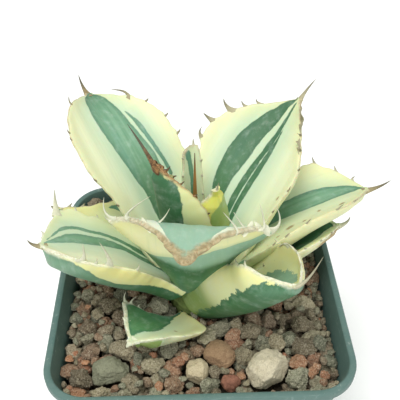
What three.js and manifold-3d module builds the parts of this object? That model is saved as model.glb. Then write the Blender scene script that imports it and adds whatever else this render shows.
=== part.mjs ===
// Potted agave: a short rosette of thick, toothed, striped leaves in a square plastic pot of gravel.
// Millimetres, +Z up. The origin is the middle of the pot's underside.

import * as THREE from 'three';
import { mergeVertices } from 'three/addons/utils/BufferGeometryUtils.js';
import Module from 'manifold-3d';

const wasm = await Module();
wasm.setup();

const rad = THREE.MathUtils.degToRad;

// Driving dimensions of the pot: a 9 cm nursery pot, square, its sides measured across the flats
const POT_HEIGHT = 80;
const RIM_SIDE = 90.4;
const RIM_LIP = 2.2;
const RIM_BAND = 3;
const RIM_CORNER = 13;
const FOOT_SIDE = 64;
const FOOT_CORNER = 9;
const WALL = 1.3;
const FLOOR = 2;
const CORNER_STEPS = 6;
const DRAIN_RADIUS = 3.5;
const DRAIN_SPREAD = 19;

// Driving dimensions of the filling and the stem
const GAP = 0.35;
const SLIVER = 0.12;
const GRAVEL_LEVEL = 72;
const BED_TOP = GRAVEL_LEVEL - 2;
const GRAIN_SPACING = 7.9;
const GRAIN_RADIUS = 5;
const STEM_RADIUS = 9;
const STEM_FOOT = 58;
const STEM_TOP = 86;

// Driving dimensions that all leaves share
const EDGE_THICKNESS = 1.2;
const TIP_HALF_WIDTH = 1;
const TOOTH_SLIMNESS = 0.26;
const BLADE_STEPS = 12;
const BLADE_COLUMNS = 7;

// Every stone and every even row of teeth draws from one seeded sequence
let seed = 23;
function random(low, high) {
  seed = (seed * 16807) % 2147483647;
  return low + (high - low) * seed / 2147483647;
}

// Solids: from a closed geometry and back, for cutting and joining
function solidOf(geometry) {
  const bare = new THREE.BufferGeometry();
  bare.setAttribute('position', geometry.attributes.position);
  bare.setIndex(geometry.index);
  const merged = mergeVertices(bare, 1e-4);
  return new wasm.Manifold(new wasm.Mesh({
    numProp: 3,
    vertProperties: new Float32Array(merged.attributes.position.array),
    triVerts: new Uint32Array(merged.index.array),
  }));
}

function geometryOf(solid) {
  const mesh = solid.getMesh();
  const geometry = new THREE.BufferGeometry();
  geometry.setAttribute('position', new THREE.BufferAttribute(new Float32Array(mesh.vertProperties), 3));
  geometry.setIndex(new THREE.BufferAttribute(new Uint32Array(mesh.triVerts), 1));
  geometry.computeVertexNormals();
  return geometry;
}

// The largest body of a solid that cutting has left in several pieces, without slivers
function mainBody(solid, sliver = SLIVER) {
  const bodies = solid.asOriginal().simplify(sliver).decompose();
  return bodies.sort((a, b) => b.volume() - a.volume())[0];
}

// A closed skin over rings of equally many points, each end closed by a strip from side to side
function skin(rings) {
  const count = rings[0].length;
  const last = (rings.length - 1) * count;
  const faces = [];
  for (let r = 0; r + 1 < rings.length; r++) {
    for (let i = 0; i < count; i++) {
      const a = r * count + i;
      const b = r * count + (i + 1) % count;
      faces.push(a, b, b + count, a, b + count, a + count);
    }
  }
  for (let i = 0; i < count / 2 - 1; i++) {
    const [a, b, c, d] = [i, i + 1, count - 2 - i, count - 1 - i];
    faces.push(a, c, b, a, d, c);
    faces.push(last + a, last + b, last + c, last + a, last + c, last + d);
  }
  const geometry = new THREE.BufferGeometry().setFromPoints(rings.flat());
  geometry.setIndex(faces);
  return geometry;
}

// Pot: one moulded shell, open on top, with a band round the rim and four drain holes in its floor
function squareRing(side, corner, z) {
  const ring = [];
  for (let quarter = 0; quarter < 4; quarter++) {
    for (let step = 0; step <= CORNER_STEPS; step++) {
      const angle = (quarter + step / CORNER_STEPS) * Math.PI / 2;
      const signX = quarter === 0 || quarter === 3 ? 1 : -1;
      const signY = quarter < 2 ? 1 : -1;
      const x = signX * (side / 2 - corner) + corner * Math.cos(angle);
      const y = signY * (side / 2 - corner) + corner * Math.sin(angle);
      ring.push(new THREE.Vector3(x, y, z));
    }
  }
  return ring;
}

const MOUTH_SIDE = RIM_SIDE - 2 * RIM_LIP;

// Side of the tapered cavity at a height, without and with the wall round it
function cavitySide(z) {
  return THREE.MathUtils.mapLinear(z, FLOOR, POT_HEIGHT, FOOT_SIDE - 2 * WALL, MOUTH_SIDE);
}

function cavityRing(z, gap) {
  const corner = THREE.MathUtils.mapLinear(z, FLOOR, POT_HEIGHT, FOOT_CORNER - WALL, RIM_CORNER - RIM_LIP);
  return squareRing(cavitySide(z) - 2 * gap, corner, z);
}

function pot() {
  const bandFoot = POT_HEIGHT - RIM_BAND;
  const shell = skin([
    squareRing(FOOT_SIDE - 1.6, FOOT_CORNER, 0),
    squareRing(FOOT_SIDE, FOOT_CORNER, 1),
    squareRing(cavitySide(bandFoot) + 2 * WALL, RIM_CORNER - RIM_LIP + WALL, bandFoot),
    squareRing(RIM_SIDE, RIM_CORNER, bandFoot + 0.4),
    squareRing(RIM_SIDE, RIM_CORNER, POT_HEIGHT - 0.6),
    squareRing(RIM_SIDE - 1, RIM_CORNER - 0.5, POT_HEIGHT),
    squareRing(MOUTH_SIDE + 0.6, RIM_CORNER - RIM_LIP, POT_HEIGHT),
    cavityRing(POT_HEIGHT - 0.4, 0),
    cavityRing(FLOOR, 0),
  ]);
  let solid = solidOf(shell);
  for (const [x, y] of [[1, 1], [-1, 1], [-1, -1], [1, -1]]) {
    const drain = new THREE.CylinderGeometry(DRAIN_RADIUS, DRAIN_RADIUS, 4 * FLOOR, 12);
    drain.rotateX(Math.PI / 2);
    drain.translate(x * DRAIN_SPREAD, y * DRAIN_SPREAD, 0);
    solid = solid.subtract(solidOf(drain));
  }
  return solid;
}

// Stones: twelve-cornered or finer lumps, knocked out of round and turned at random
function lump(center, size, detail, roughness, growth = 0) {
  const round = new THREE.IcosahedronGeometry(1, detail);
  round.deleteAttribute('normal');
  round.deleteAttribute('uv');
  const geometry = mergeVertices(round, 1e-4);
  const corner = new THREE.Vector3();
  for (let i = 0; i < geometry.attributes.position.count; i++) {
    corner.fromBufferAttribute(geometry.attributes.position, i);
    const knock = 1 + roughness * Math.sin(5 * corner.x + 2 * i) * Math.cos(4 * corner.y - corner.z + i);
    corner.multiplyScalar(knock);
    geometry.attributes.position.setXYZ(i, corner.x, corner.y, corner.z);
  }
  geometry.scale(size[0] + growth, size[1] + growth, size[2] + growth);
  geometry.rotateZ(rad(size[3] ?? 0));
  geometry.translate(...center);
  return solidOf(geometry);
}

// The stones that stand out by size: middle, half lengths and heading of each
const STONES = {
  stone_pale: { at: [20, -32.5, 75], size: [7, 5.8, 5.4, 40] },
  stone_grey_green: { at: [-27.5, -31, 73.5], size: [6.2, 4.4, 3.6, 15] },
  stone_cream: { at: [-1, -32, 74], size: [3.6, 4, 3.8, 0] },
  stone_brown: { at: [6, -26.5, 74], size: [4.4, 5, 3.4, 70] },
  stone_red: { at: [8.8, -36, 73.6], size: [2.9, 2.8, 2.6, 20] },
};

// Gravel: a fill down to the pot's floor, its top covered by half-sunk grains grown into one bed
function cavityFill(top) {
  return solidOf(skin([cavityRing(FLOOR + GAP, GAP), cavityRing(top, GAP)]));
}

function gravelBed(pockets) {
  const parts = [cavityFill(BED_TOP)];
  const reach = cavitySide(GRAVEL_LEVEL) / 2;
  const rows = Math.ceil(reach / GRAIN_SPACING / 0.9);
  for (let row = -rows; row <= rows; row++) {
    for (let column = -rows; column <= rows; column++) {
      const x = (column + (row % 2) / 2) * GRAIN_SPACING + random(-1.1, 1.1);
      const y = row * GRAIN_SPACING * 0.9 + random(-1, 1);
      const z = BED_TOP + random(-0.4, 0.9);
      const size = [random(0.85, 1.15), random(0.75, 1), random(0.75, 1)].map((s) => s * GRAIN_RADIUS);
      const heading = random(0, 180);
      if (Math.max(Math.abs(x), Math.abs(y)) > reach - 1 || Math.hypot(x, y) < STEM_RADIUS + 5) continue;
      parts.push(lump([x, y, z], [...size, heading], 0, 0.16));
    }
  }
  const bed = wasm.Manifold.union(parts).intersect(cavityFill(POT_HEIGHT - 0.4)).subtract(pockets);
  return mainBody(bed, 0.01);
}

// Stem: the short trunk that the leaves sit on, rooted in the gravel
function stem(growth) {
  const profile = [
    [0, STEM_FOOT - growth],
    [STEM_RADIUS * 0.6 + growth, STEM_FOOT - growth],
    [STEM_RADIUS + growth, GRAVEL_LEVEL - 6],
    [STEM_RADIUS + growth, GRAVEL_LEVEL + 2],
    [STEM_RADIUS * 0.66 + growth, STEM_TOP - 5],
    [STEM_RADIUS * 0.4 + growth, STEM_TOP + growth],
    [0, STEM_TOP + growth],
  ].map(([r, z]) => new THREE.Vector2(r, z));
  const geometry = new THREE.LatheGeometry(profile, 16);
  geometry.rotateX(Math.PI / 2);
  return solidOf(geometry);
}

// Centre bud: the next leaves, still furled round each other, with a spine on top
const BUD = { x: -0.5, y: 3.5, foot: 88, shoulder: 98, neck: 114, tip: 129, radius: 3.6 };

function bud(growth) {
  const profile = [
    [0, BUD.foot - growth],
    [BUD.radius * 0.8 + growth, BUD.foot - growth],
    [BUD.radius + growth, BUD.shoulder],
    [1.2 + growth, BUD.neck],
    [0.8 + growth, BUD.neck + 4],
    [0.3 + growth, BUD.tip + growth],
    [0, BUD.tip + growth],
  ].map(([r, z]) => new THREE.Vector2(r, z));
  const geometry = new THREE.LatheGeometry(profile, 8);
  geometry.rotateX(Math.PI / 2);
  geometry.translate(BUD.x, BUD.y, 0);
  return solidOf(geometry);
}

// Leaves. Each list runs evenly from a leaf's foot to its tip.
// azimuth: degrees from +X; foot: distance from the axis, height over the gravel; length: along the midrib
// lift: degrees above level; turn: degrees added to azimuth; roll: degrees about the midrib
// left, right: half widths seen from the foot, facing the tip; cup: degrees that each half is curled up
// thick: at the midrib; spine: length, degrees to the left, degrees up
// a tooth: place from 0 at the foot to 1 at the tip, length, degrees leaned to the tip, degrees raised
function evenTeeth(first, last, count, length) {
  const row = [];
  for (let i = 0; i < count; i++) {
    const place = first + (last - first) * (i + random(-0.2, 0.2)) / (count - 1);
    row.push([Math.min(place, 0.97), length * random(0.6, 1.2), random(-30, 50), random(0, 25)]);
  }
  return row;
}

const LEAVES = {
  leaf_young_front: {
    azimuth: 317, foot: [4, 15], length: 36, lift: [84, 88, 80], turn: [0, 0], roll: [-5, -5],
    left: [6, 8, 11, 9, 5.5, 0], right: [6, 8, 8, 6.5, 4, 0], cup: [69, 45, 70], thick: [4, 3.5, 2.5],
    spine: [3, 0, 0], leftTeeth: evenTeeth(0.5, 0.9, 4, 1.8), rightTeeth: evenTeeth(0.55, 0.85, 3, 1.8),
  },
  leaf_young_back: {
    azimuth: 93, foot: [4.5, 11.5], length: 40, lift: [80, 74, 75], turn: [0, 0], roll: [0, 0],
    left: [6, 7, 6, 5, 5.5, 0], right: [6, 7, 6, 5.5, 5.5, 0], cup: [73, 80, 50], thick: [4, 3.5, 2.5],
    spine: [2, 0, 0], leftTeeth: evenTeeth(0.5, 0.9, 4, 1.6), rightTeeth: evenTeeth(0.5, 0.9, 4, 1.6),
  },
  leaf_centre_left: {
    azimuth: 203, foot: [4, 10.5], length: 51, lift: [87, 81, 73], turn: [2, 2], roll: [3, 0],
    left: [10, 12, 12, 12, 8.5, 0], right: [10, 12, 12, 10, 5, 0], cup: [74, 80, 73], thick: [5, 4.5, 2.5],
    spine: [13, -46, -2], leftTeeth: evenTeeth(0.35, 0.85, 6, 2), rightTeeth: evenTeeth(0.4, 0.85, 5, 2),
  },
  leaf_front: {
    azimuth: 264, foot: [6, 7], length: 62.5, lift: [72, 75, 84, 72, 11, 20], turn: [-2, 0], roll: [10, -6],
    left: [8, 8, 14, 21.5, 9, 0], right: [8, 8.5, 14.5, 22.5, 10, 0], cup: [47, 12, 0], thick: [8, 6, 3],
    spine: [3, 0, 0],
    leftTeeth: [[0.62, 8.5, 75, 20], [0.67, 8, 60, 45], [0.74, 6, -50, 50], [0.79, 6.5, -60, 45]],
    rightTeeth: [[0.6, 3.5, 50, 10], [0.63, 8.5, 70, 18], [0.7, 9, -100, 45], [0.77, 8, -115, 35]],
  },
  leaf_back_right: {
    azimuth: 48, foot: [8, 10], length: 60, lift: [62, 41, 40], turn: [-1, -2], roll: [-2, -2],
    left: [10, 9, 17, 21.5, 15.5, 0], right: [9, 14, 17, 18, 9, 0], cup: [26, 49, 16], thick: [8, 6, 3],
    spine: [8, -8, 0],
    leftTeeth: [[0.45, 2, 50, 5], [0.55, 4, 60, 5], [0.66, 4.5, 8, 5], [0.76, 5, 26, 5],
      [0.82, 2.5, 30, 0], [0.87, 2.2, 30, 0]],
    rightTeeth: [[0.4, 1.6, 40, 10], [0.52, 2.3, 60, 10], [0.64, 1.8, 30, 20], [0.74, 2.4, 10, 40],
      [0.82, 2.6, -20, 60]],
  },
  leaf_back_left: {
    azimuth: 127, foot: [7.5, 7], length: 70, lift: [54, 43, -3], turn: [3, -6], roll: [1, 12],
    left: [9, 13, 14, 19.5, 17, 0], right: [9, 11, 15.5, 17.5, 13.5, 0], cup: [34, 30, 46], thick: [8, 6, 3],
    spine: [11, -6, 13],
    leftTeeth: [[0.4, 1.5, 40, 5], [0.53, 1.6, 50, 5], [0.7, 1.6, 60, 5], [0.73, 1.8, 60, 10], [0.87, 3, 60, 30]],
    rightTeeth: [[0.48, 1.5, 30, 5], [0.58, 2, 30, 0], [0.68, 1.8, 20, 0], [0.79, 1.5, 20, 0], [0.89, 4.6, 75, 5]],
  },
  leaf_left: {
    azimuth: 192, foot: [8.5, 10], length: 46.5, lift: [41, 36, 22], turn: [-6, 8], roll: [19, 11],
    left: [11, 10, 14.5, 17, 15.5, 0], right: [9.5, 10.5, 14, 15, 15.5, 0], cup: [22, 35, 28], thick: [7, 8.5, 6],
    spine: [4, -45, 6],
    leftTeeth: [[0.49, 2.6, 10, 40], [0.69, 8, 65, 45], [0.77, 2, 10, 60], [0.83, 5, 40, 75]],
    rightTeeth: [[0.55, 1.6, 20, 5], [0.7, 1.8, 10, 5], [0.83, 7.4, 5, 5], [0.95, 1.5, 35, 0]],
  },
  leaf_right: {
    azimuth: 18, foot: [6, 7.5], length: 59, lift: [49, 22, 0], turn: [4, -6], roll: [-7, -12],
    left: [9, 12, 15.5, 14.5, 14, 0], right: [9, 9.5, 16, 16, 12.5, 0], cup: [27, 50, 38], thick: [7, 5.5, 3],
    spine: [9, 10, 8],
    leftTeeth: [[0.5, 1.6, 20, 5], [0.65, 1.8, 10, 0], [0.79, 3, 0, 0], [0.88, 2.3, 5, 0], [0.94, 2, 60, 0]],
    rightTeeth: [[0.38, 1.6, 60, 15], [0.45, 2, 65, 10], [0.56, 2.6, 62, 15], [0.73, 2.8, 60, 15], [0.84, 1.8, 50, 10]],
  },
  leaf_front_right: {
    azimuth: 315, foot: [7.5, 4], length: 45.5, lift: [42, 47, 50], turn: [0, -6], roll: [-20, -19],
    left: [9, 13, 17, 17.5, 12.5, 0], right: [9, 13, 17.5, 13.5, 13, 0], cup: [56, 107, 65], thick: [7, 5.5, 2.5],
    spine: [10, 30, 42],
    leftTeeth: [[0.6, 2, -20, 10], [0.7, 4.5, -80, 10], [0.74, 3, -45, 10], [0.8, 1.8, 0, 20], [0.9, 1.8, 30, 20]],
    rightTeeth: [[0.5, 1.8, 20, 0], [0.65, 1.6, 0, 0], [0.8, 1.8, 30, 0]],
  },
  leaf_back_left_low: {
    azimuth: 156, foot: [8, 2.5], length: 47, lift: [26, 22, 16], turn: [-2, 0], roll: [-1, -1],
    left: [8, 11, 14, 14, 9, 0], right: [8, 11, 14, 16, 7, 0], cup: [20, 22, 15], thick: [7, 5, 3],
    spine: [5, 0, 10], leftTeeth: evenTeeth(0.35, 0.92, 7, 2.2), rightTeeth: evenTeeth(0.4, 0.92, 7, 1.8),
  },
  leaf_right_low: {
    azimuth: 7, foot: [7.5, 3.5], length: 44.5, lift: [38, 33, 11], turn: [2, -2], roll: [-12, -13],
    left: [9, 12, 15, 15, 11, 0], right: [9, 12, 14.5, 14.5, 10, 0], cup: [18, 42, 25], thick: [7, 5, 2.5],
    spine: [5, 35, 8], leftTeeth: evenTeeth(0.4, 0.92, 6, 2.2), rightTeeth: evenTeeth(0.4, 0.92, 6, 1.6),
  },
  leaf_front_left_low: {
    azimuth: 243, foot: [10, 1], length: 29, lift: [22, 34, 9], turn: [-9, -13], roll: [5, 0],
    left: [5, 10, 11.5, 7, 5, 0], right: [4, 4, 8, 13.5, 7.5, 0], cup: [28, 20, 34], thick: [5, 5, 3],
    spine: [1.6, 20, 0],
    leftTeeth: [[0.55, 1.5, 20, 0], [0.75, 1.5, 20, 0]],
    rightTeeth: [[0.48, 1.8, -60, 10], [0.6, 2.6, -80, 15], [0.69, 3, -30, 5], [0.82, 1.5, 20, 5]],
  },
  leaf_back_low: {
    azimuth: 84, foot: [8.5, 2], length: 43, lift: [24, 18, 12], turn: [0, 3], roll: [0, 0],
    left: [8, 11, 14, 14, 9, 0], right: [8, 11, 14, 14, 9, 0], cup: [20, 26, 22], thick: [7, 5, 3],
    spine: [5, 0, 12], leftTeeth: evenTeeth(0.35, 0.92, 7, 2.4), rightTeeth: evenTeeth(0.35, 0.92, 7, 2.4),
  },
  leaf_back_right_low: {
    azimuth: 39, foot: [9, 2.5], length: 41, lift: [24, 15, 9], turn: [0, 3], roll: [0, 0],
    left: [7, 10, 13, 12, 8, 0], right: [7, 10, 13, 13, 8, 0], cup: [20, 28, 22], thick: [6, 5, 3],
    spine: [5, 0, 12], leftTeeth: evenTeeth(0.35, 0.92, 6, 2.4), rightTeeth: evenTeeth(0.35, 0.92, 6, 2.4),
  },
  leaf_back_mid: {
    azimuth: 112, foot: [8.5, 2.5], length: 40, lift: [24, 17, 12], turn: [0, -3], roll: [0, 0],
    left: [7, 10, 13, 13, 8, 0], right: [7, 10, 13, 12, 8, 0], cup: [18, 22, 20], thick: [6, 5, 3],
    spine: [4, 0, 12], leftTeeth: evenTeeth(0.35, 0.92, 6, 2.2), rightTeeth: evenTeeth(0.35, 0.92, 6, 2.2),
  },
};

// The value at t of a list spread evenly from 0 to 1, on a smooth curve through its entries
function along(list, t) {
  const values = [2 * list[0] - list[1], ...list, 2 * list.at(-1) - list.at(-2)];
  const spans = list.length - 1;
  const span = Math.min(Math.floor(t * spans), spans - 1);
  const f = t * spans - span;
  const [a, b, c, d] = values.slice(span, span + 4);
  return 0.5 * (2 * b + (c - a) * f + (2 * a - 5 * b + 4 * c - d) * f * f + (3 * b - a - 3 * c + d) * f ** 3);
}

// Midrib point and the directions forward, left and up of the blade at t
function midrib(leaf, t) {
  const steps = 40;
  const point = new THREE.Vector3(
    leaf.foot[0] * Math.cos(rad(leaf.azimuth)),
    leaf.foot[0] * Math.sin(rad(leaf.azimuth)),
    GRAVEL_LEVEL + leaf.foot[1],
  );
  const forwardAt = (s) => {
    const lift = rad(along(leaf.lift, s));
    const heading = rad(leaf.azimuth + along(leaf.turn, s));
    return new THREE.Vector3(Math.cos(lift) * Math.cos(heading), Math.cos(lift) * Math.sin(heading), Math.sin(lift));
  };
  for (let i = 0; i < steps; i++) {
    point.addScaledVector(forwardAt(t * (i + 0.5) / steps), t * leaf.length / steps);
  }
  const forward = forwardAt(t);
  const heading = rad(leaf.azimuth + along(leaf.turn, t));
  const left = new THREE.Vector3(-Math.sin(heading), Math.cos(heading), 0);
  left.applyAxisAngle(forward, rad(along(leaf.roll, t)));
  const up = new THREE.Vector3().crossVectors(forward, left);
  return { point, forward, left, up };
}

// Point on the blade's upper face, u from -1 at the right edge to 1 at the left, with its frame there
function onBlade(leaf, t, u) {
  const { point, forward, left, up } = midrib(leaf, t);
  const half = Math.max(along(u > 0 ? leaf.left : leaf.right, t), TIP_HALF_WIDTH);
  const cup = Math.max(rad(along(leaf.cup, t)), 0.02);
  const angle = cup * u;
  point.addScaledVector(left, half * Math.sin(angle) / cup);
  point.addScaledVector(up, half * (1 - Math.cos(angle)) / cup);
  const across = left.clone().multiplyScalar(Math.cos(angle)).addScaledVector(up, Math.sin(angle));
  const normal = new THREE.Vector3().crossVectors(forward, across);
  const middle = Math.min(along(leaf.thick, t), Math.max(EDGE_THICKNESS, 0.9 * half));
  const thickness = EDGE_THICKNESS + (Math.max(middle, EDGE_THICKNESS) - EDGE_THICKNESS) * (1 - u * u);
  return { point, forward, across, normal, thickness };
}

function blade(leaf, growth) {
  const rings = [];
  for (let step = 0; step <= BLADE_STEPS; step++) {
    const t = step / BLADE_STEPS;
    const end = step === 0 ? -1 : Math.floor(t);
    const upper = [];
    const lower = [];
    for (let column = 0; column < BLADE_COLUMNS; column++) {
      const u = 2 * column / (BLADE_COLUMNS - 1) - 1;
      const spot = onBlade(leaf, t, u);
      spot.point.addScaledVector(spot.across, u * growth).addScaledVector(spot.forward, end * growth);
      upper.unshift(spot.point.clone().addScaledVector(spot.normal, growth));
      lower.push(spot.point.clone().addScaledVector(spot.normal, -spot.thickness - growth));
    }
    rings.push([...upper, ...lower]);
  }
  return solidOf(skin(rings));
}

// A horn: a four-sided cone from a sunk root that bends once on its way to the point
function horn(root, bend, tip, radius, side) {
  const rings = [[root, 1], [bend, 0.62], [tip, 0.12]].map(([middle, share], index, path) => {
    const next = path[Math.min(index + 1, 2)][0];
    const before = path[Math.max(index - 1, 0)][0];
    const along = next.clone().sub(before).normalize();
    const right = side.clone().addScaledVector(along, -side.dot(along)).normalize();
    const front = new THREE.Vector3().crossVectors(along, right);
    return [0, 1, 2, 3].map((corner) => {
      const angle = corner * Math.PI / 2;
      return middle.clone()
        .addScaledVector(right, Math.cos(angle) * radius * share)
        .addScaledVector(front, Math.sin(angle) * radius * share);
    });
  });
  return solidOf(skin(rings));
}

function tooth(leaf, side, [place, length, lean, rise], growth) {
  const { point, forward, across, normal, thickness } = onBlade(leaf, place, side);
  const outward = across.clone().multiplyScalar(side);
  const direction = outward.clone().multiplyScalar(Math.cos(rad(lean)))
    .addScaledVector(forward, Math.sin(rad(lean)))
    .multiplyScalar(Math.cos(rad(rise)))
    .addScaledVector(normal, Math.sin(rad(rise)));
  const edge = point.addScaledVector(normal, -thickness / 2);
  const root = edge.clone().addScaledVector(outward, -1.2);
  const bend = edge.clone().addScaledVector(outward, 0.22 * length).addScaledVector(direction, 0.3 * length);
  const tip = edge.clone().addScaledVector(direction, length + growth);
  return horn(root, bend, tip, Math.max(TOOTH_SLIMNESS * length, 0.75) + growth, forward);
}

function spine(leaf, growth) {
  const [length, turn, lift] = leaf.spine;
  const { point, forward, left, up } = midrib(leaf, 1);
  const middle = point.addScaledVector(up, -0.9);
  const direction = forward.clone().applyAxisAngle(up, rad(turn)).applyAxisAngle(left, -rad(lift));
  const root = middle.clone().addScaledVector(forward, -2.5);
  const bend = middle.clone().addScaledVector(forward, 0.18 * length).addScaledVector(direction, 0.2 * length);
  const tip = middle.clone().addScaledVector(direction, length + growth);
  return horn(root, bend, tip, 1.3 + growth, left);
}

function leafSolid(leaf, growth = 0) {
  const parts = [blade(leaf, growth), spine(leaf, growth)];
  for (const one of leaf.leftTeeth) parts.push(tooth(leaf, 1, one, growth));
  for (const one of leaf.rightTeeth) parts.push(tooth(leaf, -1, one, growth));
  return wasm.Manifold.union(parts);
}

// Assembly, from the middle outwards: each leaf gives way to the stem, the bud and the leaves inside it
const part = new THREE.Group();

function add(name, solid, color, roughness) {
  const material = new THREE.MeshStandardMaterial({ color, roughness, metalness: 0 });
  const mesh = new THREE.Mesh(geometryOf(solid), material);
  mesh.name = name;
  part.add(mesh);
}

const PLASTIC = 0x4f6f68;
const GRAVEL = 0x7d6557;
const LEAF = 0x8db58c;
const STONE_COLORS = [0xcfc6b4, 0x7f8578, 0xc2b6a0, 0x8a6b55, 0x94564a];

add('pot', pot(), PLASTIC, 0.5);
add('stem', stem(0), 0xa9a070, 0.8);
add('centre_bud', bud(0), 0xb5a254, 0.5);

const taken = [stem(GAP), bud(GAP)];
for (const [name, leaf] of Object.entries(LEAVES)) {
  const body = mainBody(leafSolid(leaf).subtract(wasm.Manifold.union(taken)));
  add(name, body, LEAF, 0.45);
  taken.push(leafSolid(leaf, GAP));
}

const stonePockets = [];
Object.entries(STONES).forEach(([name, { at, size }], index) => {
  const leaves = wasm.Manifold.union(taken);
  add(name, mainBody(lump(at, size, 1, 0.1).subtract(leaves)), STONE_COLORS[index], 0.9);
  stonePockets.push(lump(at, size, 1, 0.1, GAP));
});

add('gravel', gravelBed(wasm.Manifold.union([...taken, ...stonePockets])), GRAVEL, 0.95);

export default part;
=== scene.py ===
import math
import bmesh
import bpy
import numpy as np
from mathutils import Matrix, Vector, noise


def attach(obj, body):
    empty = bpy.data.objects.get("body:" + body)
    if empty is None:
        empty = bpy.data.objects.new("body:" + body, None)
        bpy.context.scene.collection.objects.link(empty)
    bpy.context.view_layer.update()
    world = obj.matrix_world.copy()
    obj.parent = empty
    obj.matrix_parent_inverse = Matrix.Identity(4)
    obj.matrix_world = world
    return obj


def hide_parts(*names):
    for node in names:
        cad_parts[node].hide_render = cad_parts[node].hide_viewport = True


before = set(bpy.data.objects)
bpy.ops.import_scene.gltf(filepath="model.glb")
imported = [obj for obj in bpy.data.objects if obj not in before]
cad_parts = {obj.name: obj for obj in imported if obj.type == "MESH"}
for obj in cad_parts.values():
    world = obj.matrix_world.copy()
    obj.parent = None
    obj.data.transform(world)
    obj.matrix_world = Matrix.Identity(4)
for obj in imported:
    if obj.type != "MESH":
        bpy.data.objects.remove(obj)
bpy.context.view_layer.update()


# Pot
# A square nursery pot, 9 cm across its rim, injection moulded in one shot from thin slate-green
# polypropylene. It is scuffed from use, and its inner wall carries chalky flecks left by hard water.
MM = 0.001


def paint(red, green, blue):
    """A colour given as it is seen, from 0 to 255"""
    shares = [value / 255 for value in (red, green, blue)]
    return (*[s / 12.92 if s < 0.04045 else ((s + 0.055) / 1.055) ** 2.4 for s in shares], 1)


class Wire:
    """A node's output, for use in sums"""

    def __init__(self, finish, socket):
        self.finish = finish
        self.socket = socket

    def sum(self, operation, first, second):
        return self.finish.node("ShaderNodeMath", {"operation": operation}, {0: first, 1: second})

    def __add__(self, other):
        return self.sum("ADD", self, other)

    def __radd__(self, other):
        return self.sum("ADD", other, self)

    def __sub__(self, other):
        return self.sum("SUBTRACT", self, other)

    def __rsub__(self, other):
        return self.sum("SUBTRACT", other, self)

    def __mul__(self, other):
        return self.sum("MULTIPLY", self, other)

    def __rmul__(self, other):
        return self.sum("MULTIPLY", other, self)

    def least(self, other):
        return self.sum("MINIMUM", self, other)

    def most(self, other):
        return self.sum("MAXIMUM", self, other)


class Finish:
    """A material whose colour, roughness and relief are worked out by nodes"""

    def __init__(self, name, specular=0.5, subsurface=0.0):
        self.material = bpy.data.materials.new(name)
        self.material.use_nodes = True
        self.tree = self.material.node_tree
        self.shader = self.tree.nodes["Principled BSDF"]
        self.shader.inputs["Specular IOR Level"].default_value = specular
        self.shader.inputs["Subsurface Weight"].default_value = subsurface
        self.shader.inputs["Subsurface Scale"].default_value = 2 * MM

    def node(self, kind, settings, sockets, output=0):
        made = self.tree.nodes.new(kind)
        for name, value in settings.items():
            if name == "stops":
                ramp = made.color_ramp
                while len(ramp.elements) < len(value):
                    ramp.elements.new(1)
                for element, (position, color) in zip(ramp.elements, value):
                    element.position = position
                    element.color = paint(*color)
            else:
                setattr(made, name, value)
        for key, value in sockets.items():
            if isinstance(value, Wire):
                self.tree.links.new(value.socket, made.inputs[key])
            else:
                made.inputs[key].default_value = value
        return Wire(self, made.outputs[output])

    def painted(self, name):
        """The three numbers painted on the mesh under a name"""
        vector = self.node("ShaderNodeAttribute", {"attribute_name": name}, {}, "Vector")
        return [self.node("ShaderNodeSeparateXYZ", {}, {0: vector}, axis) for axis in range(3)]

    def place(self, x, y, z):
        return self.node("ShaderNodeCombineXYZ", {}, {0: x, 1: y, 2: z})

    def here(self):
        """Place on the object, in millimetres"""
        where = self.node("ShaderNodeTexCoord", {}, {}, "Object")
        return self.node("ShaderNodeVectorMath", {"operation": "SCALE"}, {0: where, "Scale": 1000.0})

    def stretched(self, where, scales):
        return self.node("ShaderNodeVectorMath", {"operation": "MULTIPLY"}, {0: where, 1: scales})

    def grain(self, where, scale, detail=3.0, roughness=0.55):
        return self.node("ShaderNodeTexNoise", {}, {
            "Vector": where, "Scale": scale, "Detail": detail, "Roughness": roughness})

    def rise(self, value, low, high):
        """0 below low, 1 above high, and a smooth step between"""
        return self.node("ShaderNodeMapRange", {"interpolation_type": "SMOOTHSTEP"}, {
            "Value": value, "From Min": low, "From Max": high})

    def mix(self, share, first, second):
        """Two colours mixed, each of them a wire or three numbers as for paint"""
        first, second = [color if isinstance(color, Wire) else paint(*color) for color in (first, second)]
        return self.node("ShaderNodeMix", {"data_type": "RGBA"}, {0: share, 6: first, 7: second}, 2)

    def coats(self, color, *coats):
        """A colour under further ones, each given with the share of it that shows"""
        for share, coat in coats:
            color = self.mix(share, color, coat)
        return color

    def shine(self, color, roughness, relief, depth):
        """Feed the shader; depth is how high the relief stands, in millimetres"""
        bump = self.node("ShaderNodeBump", {}, {
            "Height": relief, "Distance": depth * MM, "Strength": 1.0}, "Normal")
        for name, wire in (("Base Color", color), ("Roughness", roughness), ("Normal", bump)):
            self.tree.links.new(wire.socket, self.shader.inputs[name])
        return self.material


def placed(name, data):
    """A new object that stands in the scene"""
    made = bpy.data.objects.new(name, data)
    bpy.context.scene.collection.objects.link(made)
    return made


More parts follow.
